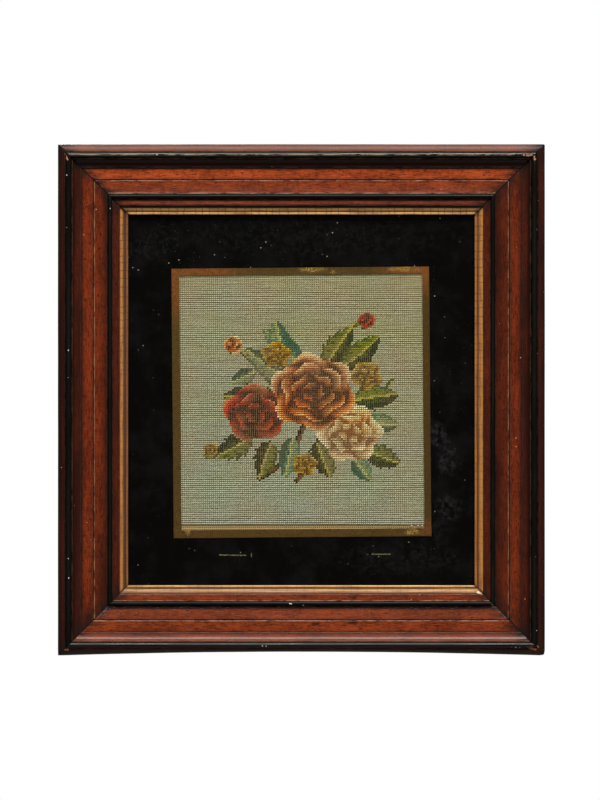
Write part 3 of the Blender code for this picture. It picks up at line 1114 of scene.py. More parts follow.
@dataclass
class Moulding:
    """A moulding of one section: it makes a mitred length for each side of the frame."""

    name: str
    finish: Finish
    upright_finish: Finish
    slot: str
    section: list[Point]
    softening: float
    step: float
    longest: float
    waver: float
    recess_reach: float = 2.5
    arris_reach: float = 0.9
    wear_depth: float = 0.0
    wear_end: float = 7.2
    knocked_from: float = 0.3
    chip_depth: float = 0.0
    front_height: float = 15.0
    mitre_height: float = 17.0
    mitre_depth: float = 0.25
    corner_radius: float = 4.0
    raw_above: float | None = None
    rebate_height: float = 20.9
    plank_shift: Triple = (0.0, 0.31, 0.17)
    stains: Bands = field(default_factory=dict)
    sheen_veils: Bands = field(default_factory=dict)
    rub_highlight_corners: dict[Side, Sequence[Triple]] = field(default_factory=dict)

    def turns(self) -> np.ndarray:
        """Finds how sharply the section turns at each of its points.

        Returns:
            The turns in degrees: above 0 where a corner stands out, below 0 where it lies in.
        """
        here = np.array(self.section)
        first, second = here - np.roll(here, 1, axis=0), np.roll(here, -1, axis=0) - here
        crossed = first[:, 0] * second[:, 1] - first[:, 1] * second[:, 0]
        return np.degrees(np.arctan2(-crossed, (first * second).sum(axis=1)))

    def ring(self, shape: Shape, start: float) -> list[bmesh.types.BMEdge]:
        """Draws the section at one end, softens its arrises and divides its long edges.

        Args:
            shape: Where it is drawn.
            start: Place along the length.

        Returns:
            The edges of the section.
        """
        points = [shape.verts.new((start, -height, -inward)) for inward, height in self.section]
        shape.faces.new(points)
        bmesh.ops.bevel(
            shape,
            geom=[point for point, turn in zip(points, self.turns()) if turn > SHARP_TURN],
            offset=self.softening,
            offset_type="OFFSET",
            segments=3,
            profile=0.5,
            affect="VERTICES",
            clamp_overlap=True,
            material=-1,
        )
        bmesh.ops.delete(shape, geom=shape.faces[:], context="FACES_ONLY")
        cuts: dict[int, list[bmesh.types.BMEdge]] = {}
        for edge in shape.edges:
            cuts.setdefault(int(edge.calc_length() / self.longest), []).append(edge)
        for number, edges in cuts.items():
            if number:
                bmesh.ops.subdivide_edges(shape, edges=edges, cuts=number)
        return list(shape.edges)

    def shaped(self, side: Side) -> Shape:
        """Draws the section along a side and mitres its ends.

        Args:
            side: The side of the frame.

        Returns:
            The length in its own frame: x along, -y out from the wall, -z inwards.
        """
        shape = bmesh.new()
        edges = self.ring(shape, -side.length / 2 - self.step)
        run = side.length + 2 * self.step
        steps = math.ceil(run / self.step)
        bmesh.ops.spin(
            shape,
            geom=[*shape.verts, *edges],
            cent=(0, 0, 0),
            axis=(1, 0, 0),
            dvec=(run / steps, 0, 0),
            angle=0.0,
            steps=steps,
            use_merge=False,
            use_duplicate=False,
        )
        for end, corner in zip((-1, 1), MITRES[side]):
            normal = Vector((end, 0, -1)).normalized()
            mitre = Vector((end * side.length / 2, 0, 0))
            for back, clear in ((corner.value / 2, False), (SAW_CUT, True)):
                bmesh.ops.bisect_plane(
                    shape,
                    geom=[*shape.verts, *shape.edges, *shape.faces],
                    plane_co=mitre - normal * back,
                    plane_no=normal,
                    clear_outer=clear,
                    dist=MERGE,
                )
            bmesh.ops.contextual_create(shape, geom=[edge for edge in shape.edges if edge.is_boundary])
        bmesh.ops.remove_doubles(shape, verts=shape.verts, dist=MERGE)
        bmesh.ops.recalc_face_normals(shape, faces=shape.faces)
        return shape

    def values(self, own: np.ndarray, side: Side) -> dict[str, np.ndarray]:
        """Works out what the finishes read at each point of a length.

        Args:
            own: The points in the length's own frame.
            side: Its side of the frame.

        Returns:
            The values by name.
        """
        placing = np.array(side.placing)
        placed = own @ placing[:3, :3].T + placing[:3, 3]
        front = own[:, 1] < -self.front_height
        across = np.stack([-own[:, 2], -own[:, 1]], axis=1)
        room = (side.length / 2 - np.abs(own[:, 0]) + own[:, 2]) / math.sqrt(2)
        first, last = (corner.value / 2 for corner in MITRES[side])
        section, turns = np.array(self.section), self.turns()
        plank = np.stack([own[:, 0], across[:, 0], across[:, 1]], axis=1) * MM
        return {
            "stain": self.banded(across[:, 0], self.stains.get(side)),
            "sheen_veil": self.banded(across[:, 0], self.sheen_veils.get(side)),
            "rub_highlight": self.scraped_highlight(across, side),
            "arris": self.nearness(across, section[turns > SHARP_TURN], self.arris_reach),
            "recess": self.nearness(across, section[turns < -SHARP_TURN], self.recess_reach),
            "to_mitre": room * MM,
            "crevice": np.clip(1 - room / np.where(own[:, 0] < 0, first, last), 0, 1),
            "chip": self.knocked(placed, CHIPS) * front,
            "fleck": self.knocked(placed, FLECKS) * front,
            "rail_place": plank + np.array(self.plank_shift) * (side.number + 1),
        }

    def age(self, shape: Shape, side: Side, chips: np.ndarray, crevice: np.ndarray) -> None:
        """Moves points a little, as hand work and wear do.

        Args:
            shape: The length.
            side: Its side of the frame.
            chips: How far each point was knocked, from 0 to 1.
            crevice: How deep in an open mitre each point lies, from 0 to 1.
        """
        worn = self.wear_depth and side is Side.BOTTOM
        for vertex, knock, opened in zip(shape.verts, chips, crevice):
            x, inward = vertex.co.x, -vertex.co.z
            place = Vector((x * 0.02, inward * 0.12 + side.number * 7.3, vertex.co.y * 0.12))
            vertex.co += vertex.normal * (noise.noise(place) * self.waver)
            if knock > self.knocked_from:
                vertex.co -= vertex.normal * (self.chip_depth * min(1.0, (knock - self.knocked_from) * 2))
            if vertex.co.y < -self.mitre_height:
                vertex.co.y += self.mitre_depth * opened
            if worn and inward < self.wear_end:
                bow = self.wear_depth * (1 - (2 * x / side.length) ** 2)
                vertex.co.z -= bow * (1 - inward / self.wear_end)

    def round_off(self, shape: Shape) -> None:
        """Draws in the frame's outer corners, rubbed round, most of all at the lower right.

        Args:
            shape: The length in its place.
        """
        for vertex in shape.verts:
            right, low = vertex.co.x > 0, vertex.co.z < CENTRE_Z
            radius = self.corner_radius * (1.0 if right and low else 0.3)
            inside_x = radius - (FRAME_WIDTH / 2 - abs(vertex.co.x))
            inside_z = radius - (FRAME_HEIGHT / 2 - abs(vertex.co.z - CENTRE_Z))
            reach = math.hypot(inside_x, inside_z)
            if inside_x > 0 and inside_z > 0 and reach > radius:
                pull = 1 - radius / reach
                vertex.co.x -= math.copysign(inside_x * pull, vertex.co.x)
                vertex.co.z -= math.copysign(inside_z * pull, vertex.co.z - CENTRE_Z)

    def mesh(self, side: Side) -> Mesh:
        """Makes one length in its place.

        Args:
            side: The side of the frame.

        Returns:
            The finished mesh, in metres, with what its finish reads.
        """
        shape = self.shaped(side)
        values = self.values(np.array([vertex.co for vertex in shape.verts]), side)
        self.age(shape, side, values["chip"], values["crevice"])
        bmesh.ops.transform(shape, matrix=side.placing, verts=shape.verts)
        self.round_off(shape)
        bmesh.ops.scale(shape, vec=(MM, MM, MM), verts=shape.verts)
        finish = self.upright_finish if side.upright else self.finish
        made = meshed(f"{self.name}_{side.label}", shape, finish)
        for name, value in values.items():
            hold(made, name, value)
        soften(made)
        return made

    @staticmethod
    def knocked(places: np.ndarray, listed: Sequence[Knock]) -> np.ndarray:
        """Finds how deep in a listed knock each point lies.

        Args:
            places: The points on their side, in millimetres.
            listed: The knocks.

        Returns:
            1 in the middle of a knock, 0 outside it.
        """
        depth = np.zeros(len(places))
        for knock in listed:
            middle = from_picture(knock.across, knock.down)
            away = np.hypot(places[:, 0] - middle.x, places[:, 2] - middle.z)
            depth = np.maximum(depth, 1 - away / (knock.reach * PIXEL))
        return depth

    def scraped_highlight(self, across: np.ndarray, side: Side) -> np.ndarray:
        """Gives 1 at a side's pale corners, partly rubbed wear and partly painted highlight lines, falling to
        0 at the reach of each.

        Args:
            across: Each point's place inwards and height.
            side: The side of the frame.

        Returns:
            A share for each point.
        """
        scraped_highlight = np.zeros(len(across))
        for inward, height, reach in self.rub_highlight_corners.get(side, ()):
            scraped_highlight = np.maximum(scraped_highlight, self.nearness(across, ((inward, height),), reach))
        return scraped_highlight

    @staticmethod
    def banded(inward: np.ndarray, bands: Sequence[Point] | None) -> np.ndarray:
        """Reads a table of bands, each a place inwards and a share, at every point."""
        return np.interp(inward, *np.array(bands or ((0.0, 0.0),)).T)

    @staticmethod
    def nearness(across: np.ndarray, corners: Sequence[Point], reach: float) -> np.ndarray:
        """Finds how near to a corner of the section each point lies.

        Args:
            across: Each point's place inwards and height.
            corners: The corners.
            reach: How far from a corner is no longer near.

        Returns:
            1 at a corner, falling to 0 at its reach.
        """
        if not len(corners):
            return np.zeros(len(across))
        away = np.hypot(*(across[:, None, :] - np.array(corners)[None, :, :]).transpose(2, 0, 1))
        return np.clip(1 - away.min(axis=1) / reach, 0, 1)

    def in_rebate(self, place: Vector) -> bool:
        """Says whether a place lies in the rebate, behind the lip."""
        inward = min(FRAME_WIDTH / 2 - abs(place.x) / MM, FRAME_HEIGHT / 2 - abs(place.z / MM - CENTRE_Z))
        return inward > self.raw_above - 0.05 and place.y > -self.rebate_height * MM

    def dress(self) -> list[Piece]:
        """Makes and finishes the four lengths, each in place of its CAD node.

        Returns:
            The four pieces.
        """
        pieces = []
        for side in Side:
            mesh = self.mesh(side)
            if self.raw_above is not None:
                mesh.materials.append(PlainTimber("raw_timber").material())
                for face in mesh.polygons:
                    if face.center.y > -0.2 * MM or self.in_rebate(face.center):
                        face.material_index = 1
            node = f"{self.name}_{side.label}"
            pieces.append(fit(f"{node}_dressed", mesh, node))
        return pieces


def meshed(name: str, shape: Shape, finish: Finish) -> Mesh:
    """Turns a drawn shape into a mesh with its finish.

    Args:
        name: The mesh's name.
        shape: The shape, which is used up.
        finish: Its finish.

    Returns:
        The mesh.
    """
    mesh = bpy.data.meshes.new(name)
    shape.to_mesh(mesh)
    shape.free()
    mesh.materials.append(finish.material())
    return mesh


@dataclass
class Mouldings:
    """The walnut rails, their ebonised beads and the gilt slip."""

    slope_end: float = 7.2
    side_height: float = 30.0
    slope_top: float = 36.5
    outer_bead: Point = (7.9, 14.0)
    outer_bead_top: float = 40.0
    outer_channel_floor: float = 33.5
    outer_fillet: Point = (15.6, 36.6)
    cove_end: float = 22.2
    cove_top: float = 35.6
    cove_foot: float = 31.3
    inner_fillet_end: float = 23.8
    panel_height: float = 30.4
    groove: Point = (36.0, 37.0)
    groove_depth: float = 1.0
    inner_bead: Point = (50.8, 55.7)
    inner_bead_top: float = 29.4
    inner_panel_foot: float = 26.6
    inner_channel_floor: float = 24.2
    strip_heights: Point = (26.4, 25.2)
    strip_end: float = 62.9
    lip_underside: float = 20.8
    rebate_wall: float = 58.6
    slip_shoulders: Point = (22.4, 22.2)
    slip_foot: float = 19.6
    slip_hollow: Point = (67.8, 69.3)
    slip_hollow_height: float = 18.4
    sight_bead_top: float = 19.2
    sight_edge: float = 71.8
    glass_front: float = 15.2
    gap: float = 0.3
    # Painted shade: the uprights take a darker copy of the walnut, with dimmer highlight lines, for the light
    # that falls less on them
    finish: Finish = Walnut("walnut_lit_level")
    upright_finish: Finish = Walnut(
        "walnut_shaded_upright",
        light=paint(123, 47, 19),
        dark=paint(77, 28, 11),
        scraped_highlight=paint(168, 128, 92),
        wear=0.12,
        marks=(
            Patch((103, 590), (11, 76), 0.9, 0.6),
            Patch((88, 624), (12, 24), 0.9, 0.6),
            Patch((106, 204), (4, 20), 0.9, 0.6),
        ),
    )

    def rail_section(self) -> list[Point]:
        """Draws the walnut moulding's section.

        Returns:
            Its points, from the back of its outer side round to its rebate.
        """
        slope_radii = (self.slope_end, self.slope_top - self.side_height)
        slope = arc((self.slope_end, self.side_height), slope_radii, 180, 90, 14)
        cove_radii = (self.cove_end - self.outer_fillet[0], self.cove_top - self.cove_foot)
        groove_floor = self.panel_height - self.groove_depth
        return [
            (0.0, 0.0),
            *slope,
            (self.outer_bead[0], self.slope_top),
            (self.outer_bead[0], self.outer_channel_floor),
            (self.outer_bead[1], self.outer_channel_floor),
            (self.outer_bead[1], self.outer_fillet[1]),
            self.outer_fillet,
            *arc((self.cove_end, self.cove_top), cove_radii, 180, 270, 12),
            (self.inner_fillet_end, self.cove_foot),
            (self.inner_fillet_end, self.panel_height),
            (self.groove[0], self.panel_height),
            (self.groove[0], groove_floor),
            (self.groove[1], groove_floor),
            (self.groove[1], self.panel_height),
            (self.inner_bead[0], self.inner_panel_foot),
            (self.inner_bead[0], self.inner_channel_floor),
            (self.inner_bead[1], self.inner_channel_floor),
            (self.inner_bead[1], self.strip_heights[0]),
            (self.strip_end, self.strip_heights[1]),
            (self.strip_end, self.lip_underside),
            (self.rebate_wall, self.lip_underside),
            (self.rebate_wall, 0.0),
        ]

    def bead_section(self, place: Point, floor: float, top: float) -> list[Point]:
        """Draws a half-round bead on a flat tongue that fills its channel.

        Args:
            place: Where its channel starts and ends.
            floor: The channel's floor.
            top: The bead's crown.

        Returns:
            The section.
        """
        left, right, foot = place[0] + self.gap, place[1] - self.gap, floor + self.gap
        radius = (right - left) / 2
        crown = arc((left + radius, top - radius), (radius, radius), 180, 0, 20)
        return [(left, foot), *crown, (right, foot)]

    def slip_section(self) -> list[Point]:
        """Draws the gilt slip's section: flange, slope, hollow and fine sight bead.

        Returns:
            The section.
        """
        start, end = self.slip_hollow
        radius = (self.sight_edge - end) / 2
        back = self.glass_front + self.gap
        flange = self.lip_underside - self.gap
        lip = self.strip_end + self.gap
        return [
            (self.rebate_wall + self.gap, back),
            (self.rebate_wall + self.gap, flange),
            (lip, flange),
            (lip, self.slip_shoulders[0]),
            (self.strip_end + 2.0, self.slip_shoulders[1]),
            (start, self.slip_foot),
            (start, self.slip_hollow_height),
            (end, self.slip_hollow_height),
            *arc((end + radius, self.sight_bead_top - radius), (radius, radius), 180, 0, 12),
            (self.sight_edge, back),
        ]

    def rub_highlight_corners(self) -> dict[Side, Sequence[Triple]]:
        """Gives each rail's pale corners, partly rubbed and partly painted highlight: at the groove edge that
        the light catches, and by the inner bead.

        Returns:
            Place inwards, height and reach of each, by side.
        """
        level, (near, far) = self.panel_height, self.groove
        return {
            Side.TOP: ((far, level, 0.38), (self.inner_bead[0], self.inner_panel_foot, 2.2)),
            Side.BOTTOM: ((near, level, 0.4), (self.inner_bead[1], self.strip_heights[0], 0.64)),
            Side.LEFT: ((far, level, 0.55),),
            Side.RIGHT: ((far, level, 0.46),),
        }

    def beads(self) -> list[Moulding]:
        """Lays out the two ebonised beads.

        Returns:
            The outer and the inner one.
        """
        glossy = Ebony("ebonised_glossy")
        worn = Ebony("ebonised_worn", brown=paint(22, 19, 14), gloss=(0.30, 0.55), share=0.12)
        dull = Ebony("ebonised_dull", gloss=(0.40, 0.60), share=0.1)
        outer = self.bead_section(self.outer_bead, self.outer_channel_floor, self.outer_bead_top)
        inner = self.bead_section(self.inner_bead, self.inner_channel_floor, self.inner_bead_top)
        # Painted highlight along the top outer bead's crown
        crown = {Side.TOP: ((self.outer_bead[0] + 3.1, self.outer_bead_top, 0.7),)}
        return [
            Moulding(
                name,
                level,
                upright,
                "ebonised",
                section,
                softening=0.1,
                step=2.0,
                longest=0.6,
                waver=0.08,
                chip_depth=0.7,
                rub_highlight_corners=rub_highlight,
            )
            for name, section, level, upright, rub_highlight in (
                ("outer_bead", outer, glossy, worn, crown),
                ("inner_bead", inner, dull, dull, {}),
            )
        ]

    def dress(self) -> list[Piece]:
        """Builds every length.

        Returns:
            The pieces.
        """
        rails = Moulding(
            "rail",
            self.finish,
            self.upright_finish,
            "walnut",
            self.rail_section(),
            softening=0.28,
            step=5.0,
            longest=1.3,
            waver=0.12,
            wear_depth=3.9,
            chip_depth=0.3,
            raw_above=self.rebate_wall,
            stains=WALNUT_STAINS_AND_SHADE,
            sheen_veils=WALNUT_SHEEN_VEILS,
            rub_highlight_corners=self.rub_highlight_corners(),
        )
        slips = Moulding(
            "slip",
            # Painted light: the top and bottom slips take a brighter gold than the uprights, for how the
            # light falls on them
            Gilding(
                "gilding_lit_level",
                gold=paint(250, 192, 112),
                brown=paint(164, 108, 56),
                bole=paint(92, 58, 30),
            ),
            Gilding("gilding_shaded_upright", gold=paint(198, 134, 64), gesso=paint(190, 138, 78)),
            "gilt_slip",
            self.slip_section(),
            softening=0.15,
            step=4.0,
            longest=0.6,
            waver=0.05,
            recess_reach=0.6,
            stains=GILT_BOLE_AND_SHADE,
        )
        return [piece for moulding in (rails, *self.beads(), slips) for piece in moulding.dress()]


# Shades of each wool as seen, from dark to light
WOOLS = {
    "rust": ((92, 42, 20), (150, 74, 34), (196, 106, 54), (226, 146, 84), (246, 190, 132), (254, 224, 178)),
    "maroon": ((70, 22, 16), (122, 36, 26), (164, 54, 38), (198, 88, 58), (230, 142, 98)),
    "cream": ((160, 104, 62), (204, 156, 106), (232, 194, 144), (248, 222, 178), (254, 238, 206)),
    "ochre": ((108, 74, 22), (156, 114, 36), (196, 152, 58), (222, 186, 100)),
    "green": ((44, 54, 22), (82, 94, 34), (138, 136, 54), (196, 178, 92)),
    "teal": ((66, 98, 78), (106, 134, 104), (156, 164, 122), (198, 190, 132)),
    "brown": ((54, 32, 18), (86, 54, 30), (124, 82, 46)),
}


@dataclass
class Chart:
    """A spray of garden flowers, worked out stitch by stitch."""

    columns: int = 118
    rows: int = 122

    def __post_init__(self) -> None:
        """Lays out an empty chart."""
        self.filled = np.zeros((self.rows, self.columns), bool)
        self.tones = np.zeros((self.rows, self.columns, 4))
        self.row, self.column = np.mgrid[0 : self.rows, 0 : self.columns].astype(float)

    def work(self, wool: str, light: np.ndarray, inside: np.ndarray) -> None:
        """Works the stitches inside a shape.

        Args:
            wool: The wool's name.
            light: Light on each stitch, from 0 to 1, which picks the shade.
            inside: Which stitches are worked.
        """
        shades = np.array([paint(*tone) for tone in WOOLS[wool]])
        step = np.clip(np.rint(light * (len(shades) - 1)), 0, len(shades) - 1).astype(int)
        self.tones[inside] = shades[step[inside]]
        self.filled |= inside

    def bloom(self, wool: str, at: Point, radius: float, petals: int, rings: int, turn: float) -> None:
        """Works a round flower of overlapping petals.

        Args:
            wool: The wool's name.
            at: Column and row of its middle.
            radius: Its half width in stitches.
            petals: Petals in the outer ring.
            rings: Rings of petals.
            turn: How far it is turned, in radians.
        """
        across, down = self.column - at[0], (self.row - at[1]) / 0.9
        angle = np.arctan2(down, across) + turn
        edge = radius * (1 + 0.09 * np.cos(petals * angle))
        reach = np.hypot(across, down)
        place = np.clip(reach / edge, 0, 0.999) * rings
        ring = np.floor(place)
        out = place - ring
        deep = rings - 1 - ring
        lean = angle + 0.75 * ring + 0.35 * out
        beside = np.abs(np.mod(lean * (petals - deep) / (2 * math.pi), 1) - 0.5) * 2
        light = 0.18 + 0.85 * out - 0.75 * beside**3 - 0.16 * deep - 0.12 * down / radius
        self.work(wool, np.clip(light, 0, 1), reach < edge)

    def leaf(
        self,
        wool: str,
        at: Point,
        angle: float,
        length: float,
        width: float,
        bend: float = 0.0,
        teeth: float = 0.0,
    ) -> None:
        """Works a pointed leaf with a midrib and side veins.

        Args:
            wool: The wool's name.
            at: Column and row of its foot.
            angle: The way that it points, in degrees from the right, anticlockwise.
            length: Its length in stitches.
            width: Its half width in stitches.
            bend: How much it curves.
            teeth: How toothed its edge is.
        """
        heading = math.radians(angle)
        across, down = self.column - at[0], self.row - at[1]
        along = (across * math.cos(heading) - down * math.sin(heading)) / length
        side = across * math.sin(heading) + down * math.cos(heading) + bend * length * along**2
        clipped = np.clip(along, 0, 1)
        half = width * np.sin(math.pi * clipped**0.8) ** 0.75 * (1 + teeth * (np.mod(clipped * 5, 1) - 0.5))
        light = np.where(side < 0, 0.85, 0.35) - 0.45 * np.abs(side) / np.maximum(half, 0.5)
        veins = np.mod(along * 5 + np.abs(side) / max(width, 1) * 1.2, 1) < 0.25
        light = np.where(veins, light - 0.2, light)
        light = np.where(np.abs(side) < 0.6, 1.0, light)
        self.work(wool, np.clip(light, 0, 1), (along > 0) & (along < 1) & (np.abs(side) < half))

    def stem(self, wool: str, points: Sequence[Point], width: float) -> None:
        """Works a curved stem.

        Args:
            wool: The wool's name.
            points: The four points that steer it.
            width: Its half width in stitches.
        """
        start, first, second, end = (np.array(point, float) for point in points)
        gap = np.full(self.filled.shape, np.inf)
        lit = np.zeros(self.filled.shape)
        for t in np.linspace(0, 1, 160):
            x, y = (
                (1 - t) ** 3 * start
                + 3 * (1 - t) ** 2 * t * first
                + 3 * (1 - t) * t**2 * second
                + t**3 * end
            )
            reach = np.hypot(self.column - x, self.row - y)
            nearer = reach < gap
            lit[nearer] = (x - self.column + self.row - y)[nearer]
            gap = np.minimum(gap, reach)
        self.work(wool, np.where(lit < 0, 0.9, 0.2), gap < width)

    def draw(self) -> None:
        """Draws the whole spray, back to front: stems, leaves, flowers, then three sprigs."""
        for wool, points, width in (
            ("brown", ((62, 62), (58, 82), (50, 92), (38, 98)), 1.3),
            ("brown", ((70, 66), (66, 84), (62, 92), (56, 99)), 1.2),
            ("green", ((64, 50), (70, 32), (80, 24), (88, 22)), 1.0),
            ("green", ((50, 58), (40, 48), (32, 38), (26, 34)), 1.0),
            ("brown", ((38, 76), (28, 80), (22, 84), (15, 84)), 1.0),
            ("green", ((80, 66), (92, 62), (98, 56), (103, 50)), 1.0),
        ):
            self.stem(wool, points, width)
        for wool, at, angle, length, width, bend, teeth in (
            ("teal", (58, 44), 128, 26, 6.0, 0.10, 0.0),
            ("teal", (52, 50), 150, 26, 5.5, -0.10, 0.0),
            ("teal", (50, 40), 100, 20, 5.0, 0.08, 0.0),
            ("teal", (36, 46), 205, 14, 4.0, 0.0, 0.0),
            ("green", (70, 44), 62, 24, 6.0, -0.10, 0.3),
            ("green", (78, 44), 34, 24, 6.0, 0.10, 0.3),
            ("green", (84, 60), 12, 22, 6.0, -0.08, 0.3),
            ("teal", (88, 70), -12, 18, 5.0, 0.1, 0.0),
            ("green", (46, 60), 172, 26, 6.5, 0.05, 0.3),
            ("green", (34, 78), 212, 20, 6.0, -0.06, 0.3),
            ("green", (44, 80), 246, 19, 5.5, 0.1, 0.3),
            ("teal", (54, 78), 262, 20, 5.0, -0.06, 0.0),
            ("green", (66, 80), 286, 19, 6.0, 0.08, 0.3),
            ("green", (90, 84), -28, 18, 5.5, 0.1, 0.3),
            ("teal", (84, 88), -60, 14, 4.5, 0.1, 0.0),
        ):
            self.leaf(wool, at, angle, length, width, bend, teeth)
        for wool, at, radius, petals, rings, turn in (
            ("ochre", (46, 38), 7, 5, 2, 0.3),
            ("ochre", (90, 48), 7.5, 5, 2, 0.9),
            ("ochre", (60, 91), 6, 5, 2, 0.1),
            ("maroon", (36, 66), 15, 5, 3, 0.4),
            ("cream", (82, 76), 15, 6, 3, 1.1),
            ("rust", (64, 56), 20, 6, 4, 0.7),
        ):
            self.bloom(wool, at, radius, petals, rings, turn)
        for wool, at, radius, turn, leaf_at, angle in (
            ("maroon", (90, 21), 4.2, 0.5, (86, 24), 30),
            ("rust", (25, 33), 4.6, 0.9, (28, 36), 150),
            ("ochre", (14, 84), 3.6, 0.9, (18, 85), 190),
        ):
            self.leaf("green", leaf_at, angle, 9, 3.2)
            self.bloom(wool, at, radius, 3, 2, turn)


def drifts(*places: Sequence[float]) -> np.ndarray:
    """Gives slow noise at each place, whose x, y and z come as three rows or single numbers."""
    return np.array([noise.noise(Vector(place)) for place in zip(*np.broadcast_arrays(*places))])


@dataclass
class Needlework:
    """The canvas and its tent stitches."""

    pitch: float = 2.117
    canvas_size: Point = (288.0, 300.0)
    canvas_back: float = 10.3
    canvas_front: float = 10.9
    canvas_ripple: float = 0.1
    stitch_size: Triple = (1.26, 0.80, 0.86)
    stitch_height: float = 0.22
    slant: float = 36.0
    margin: int = 2
    middle: Point = (0.4, 0.9)
    seed: int = 12
    torn_from: float = 112.0
    torn_share: float = 0.6
    ground_warm: Colour = paint(188, 180, 147)
    ground_cool: Colour = paint(184, 187, 172)
    finish: Finish = Wool("wool")

    def canvas(self) -> Piece:
        """Makes the canvas: a thin sheet, stretched, with a very slight ripple.

        Returns:
            The piece.
        """
        shape = bmesh.new()
        bmesh.ops.create_grid(shape, x_segments=48, y_segments=50, size=0.5)
        bmesh.ops.scale(shape, vec=(*self.canvas_size, 1), verts=shape.verts)
        for vertex in shape.verts:
            vertex.co.z = self.canvas_ripple * noise.noise(vertex.co * 0.03)
        thicken(shape, self.canvas_front - self.canvas_back - 2 * self.canvas_ripple)
        stand(shape, self.canvas_back + self.canvas_ripple)
        mesh = meshed("canvas", shape, CanvasCloth("canvas_cloth", self.pitch * MM))
        soften(mesh)
        return fit("canvas", mesh, "needlework")

    def template(self) -> tuple[np.ndarray, np.ndarray]:
        """Makes one stitch: a low rounded hump of yarn along x.

        Returns:
            Its points and its triangles.
        """
        shape = bmesh.new()
        bmesh.ops.create_icosphere(shape, subdivisions=1, radius=1.0)
        turn = Matrix.Rotation(math.pi / 2, 3, "Y")
        bmesh.ops.rotate(shape, cent=(0, 0, 0), matrix=turn, verts=shape.verts)
        bmesh.ops.scale(shape, vec=self.stitch_size, verts=shape.verts)
        points = np.array([vertex.co for vertex in shape.verts])
        faces = np.array([[vertex.index for vertex in face.verts] for face in shape.faces])
        shape.free()
        return points, faces

    def ground(self, x: np.ndarray, z: np.ndarray, dice: np.random.Generator) -> np.ndarray:
        """Gives the plain ground's wool colour at each stitch.

        Args:
            x: Place across, in millimetres from the middle.
            z: Place up, in millimetres from the middle.
            dice: Source of chance.

        Returns:
            Linear colours.
        """
        cool = 0.5 - z / 300 - x / 700
        share = np.clip(cool + 0.5 * drifts(x * 0.02, z * 0.05, 3.1), 0, 1)[:, None]
        tone = np.array(self.ground_warm) * (1 - share) + np.array(self.ground_cool) * share
        return tone * (1 + 0.05 * dice.standard_normal((len(x), 1)))

    def stitches(
        self, name: str, chosen: np.ndarray, tones: np.ndarray, places: np.ndarray, dice: np.random.Generator
    ) -> Piece:
        """Makes one piece of the chosen stitches, joined.

        Args:
            name: The piece's name.
            chosen: Which stitches.
            tones: Colour of every stitch.
            places: Place of every stitch across and up, in millimetres.
            dice: Source of chance.

        Returns:
            The piece.
        """
        points, faces = self.template()
        count, size = int(chosen.sum()), len(points)
        middle = places[chosen]
        turn = np.radians(self.slant + dice.normal(0, 3.5, count))[:, None]
        grown = 1 + dice.normal(0, 0.05, (count, 3))
        grown += 0.16 * drifts(middle[:, 0] * 0.04, middle[:, 1] * 0.5, 2.2)[:, None]
        x, y, z = (points[None, :, :] * grown[:, None, :]).transpose(2, 0, 1)
        across = x * np.cos(turn) - y * np.sin(turn) + middle[:, None, 0]
        up = x * np.sin(turn) + y * np.cos(turn) + middle[:, None, 1] + CENTRE_Z - WINDOW_DROP
        out = z + self.canvas_front + self.stitch_height
        made = np.stack([across, -out, up], axis=2).reshape(-1, 3) * MM
        joined = (faces[None, :, :] + (np.arange(count) * size)[:, None, None]).reshape(-1, 3)
        mesh = bpy.data.meshes.new(name)
        mesh.from_pydata(made, [], joined)
        mesh.update()
        shades = np.clip(np.repeat(tones[chosen], size, axis=0), 0, 1)
        shades[:, 3] = 1.0
        hold(mesh, "wool", shades)
        along = np.tile(points, (count, 1)) * MM
        along[:, 2] = np.repeat(dice.random(count), size)
        hold(mesh, "strand", along)
        mesh.shade_smooth()
        mesh.materials.append(self.finish.material())
        return fit(name, mesh)

    def dress(self) -> list[Piece]:
        """Returns:
            The pieces.
        """
        dice = np.random.default_rng(self.seed)
        chart = Chart()
        chart.draw()
        edge = self.margin
        columns, rows = chart.columns + 2 * edge, chart.rows + edge
        row, column = (grid.ravel() for grid in np.mgrid[0:rows, 0:columns])
        x = (column - (columns - 1) / 2) * self.pitch + self.middle[0]
        z = ((chart.rows + 2 * edge - 1) / 2 - row) * self.pitch + self.middle[1]
        sway_across, sway_up = drifts(column * 0.9, z * 0.05, 5.7), drifts(x * 0.035, row * 0.9, 0.7)
        places = np.stack([x + 0.14 * sway_across, z + 0.3 * sway_up], axis=1)
        places += dice.normal(0, 0.05, places.shape)
        tones = self.ground(places[:, 0], places[:, 1], dice)
        present = (row < rows - 1) | ((x > self.torn_from) & (dice.random(row.shape) < self.torn_share))
        around = ((edge, 0), (edge, edge))
        worked = np.pad(chart.filled, around).ravel()
        charted = np.pad(chart.tones, (*around, (0, 0))).reshape(-1, 4)[worked]
        tones[worked] = charted * (1 + 0.06 * dice.standard_normal((len(charted), 1)))
        upper = row < rows / 2
        canvas = self.canvas()
        pieces = [
            self.stitches(name, chosen, tones, places, dice)
            for name, chosen in (
                ("ground_stitches_upper", ~worked & upper),
                ("ground_stitches_lower", ~worked & ~upper & present),
                ("spray_stitches", worked),
            )
        ]
        return [canvas, *pieces]


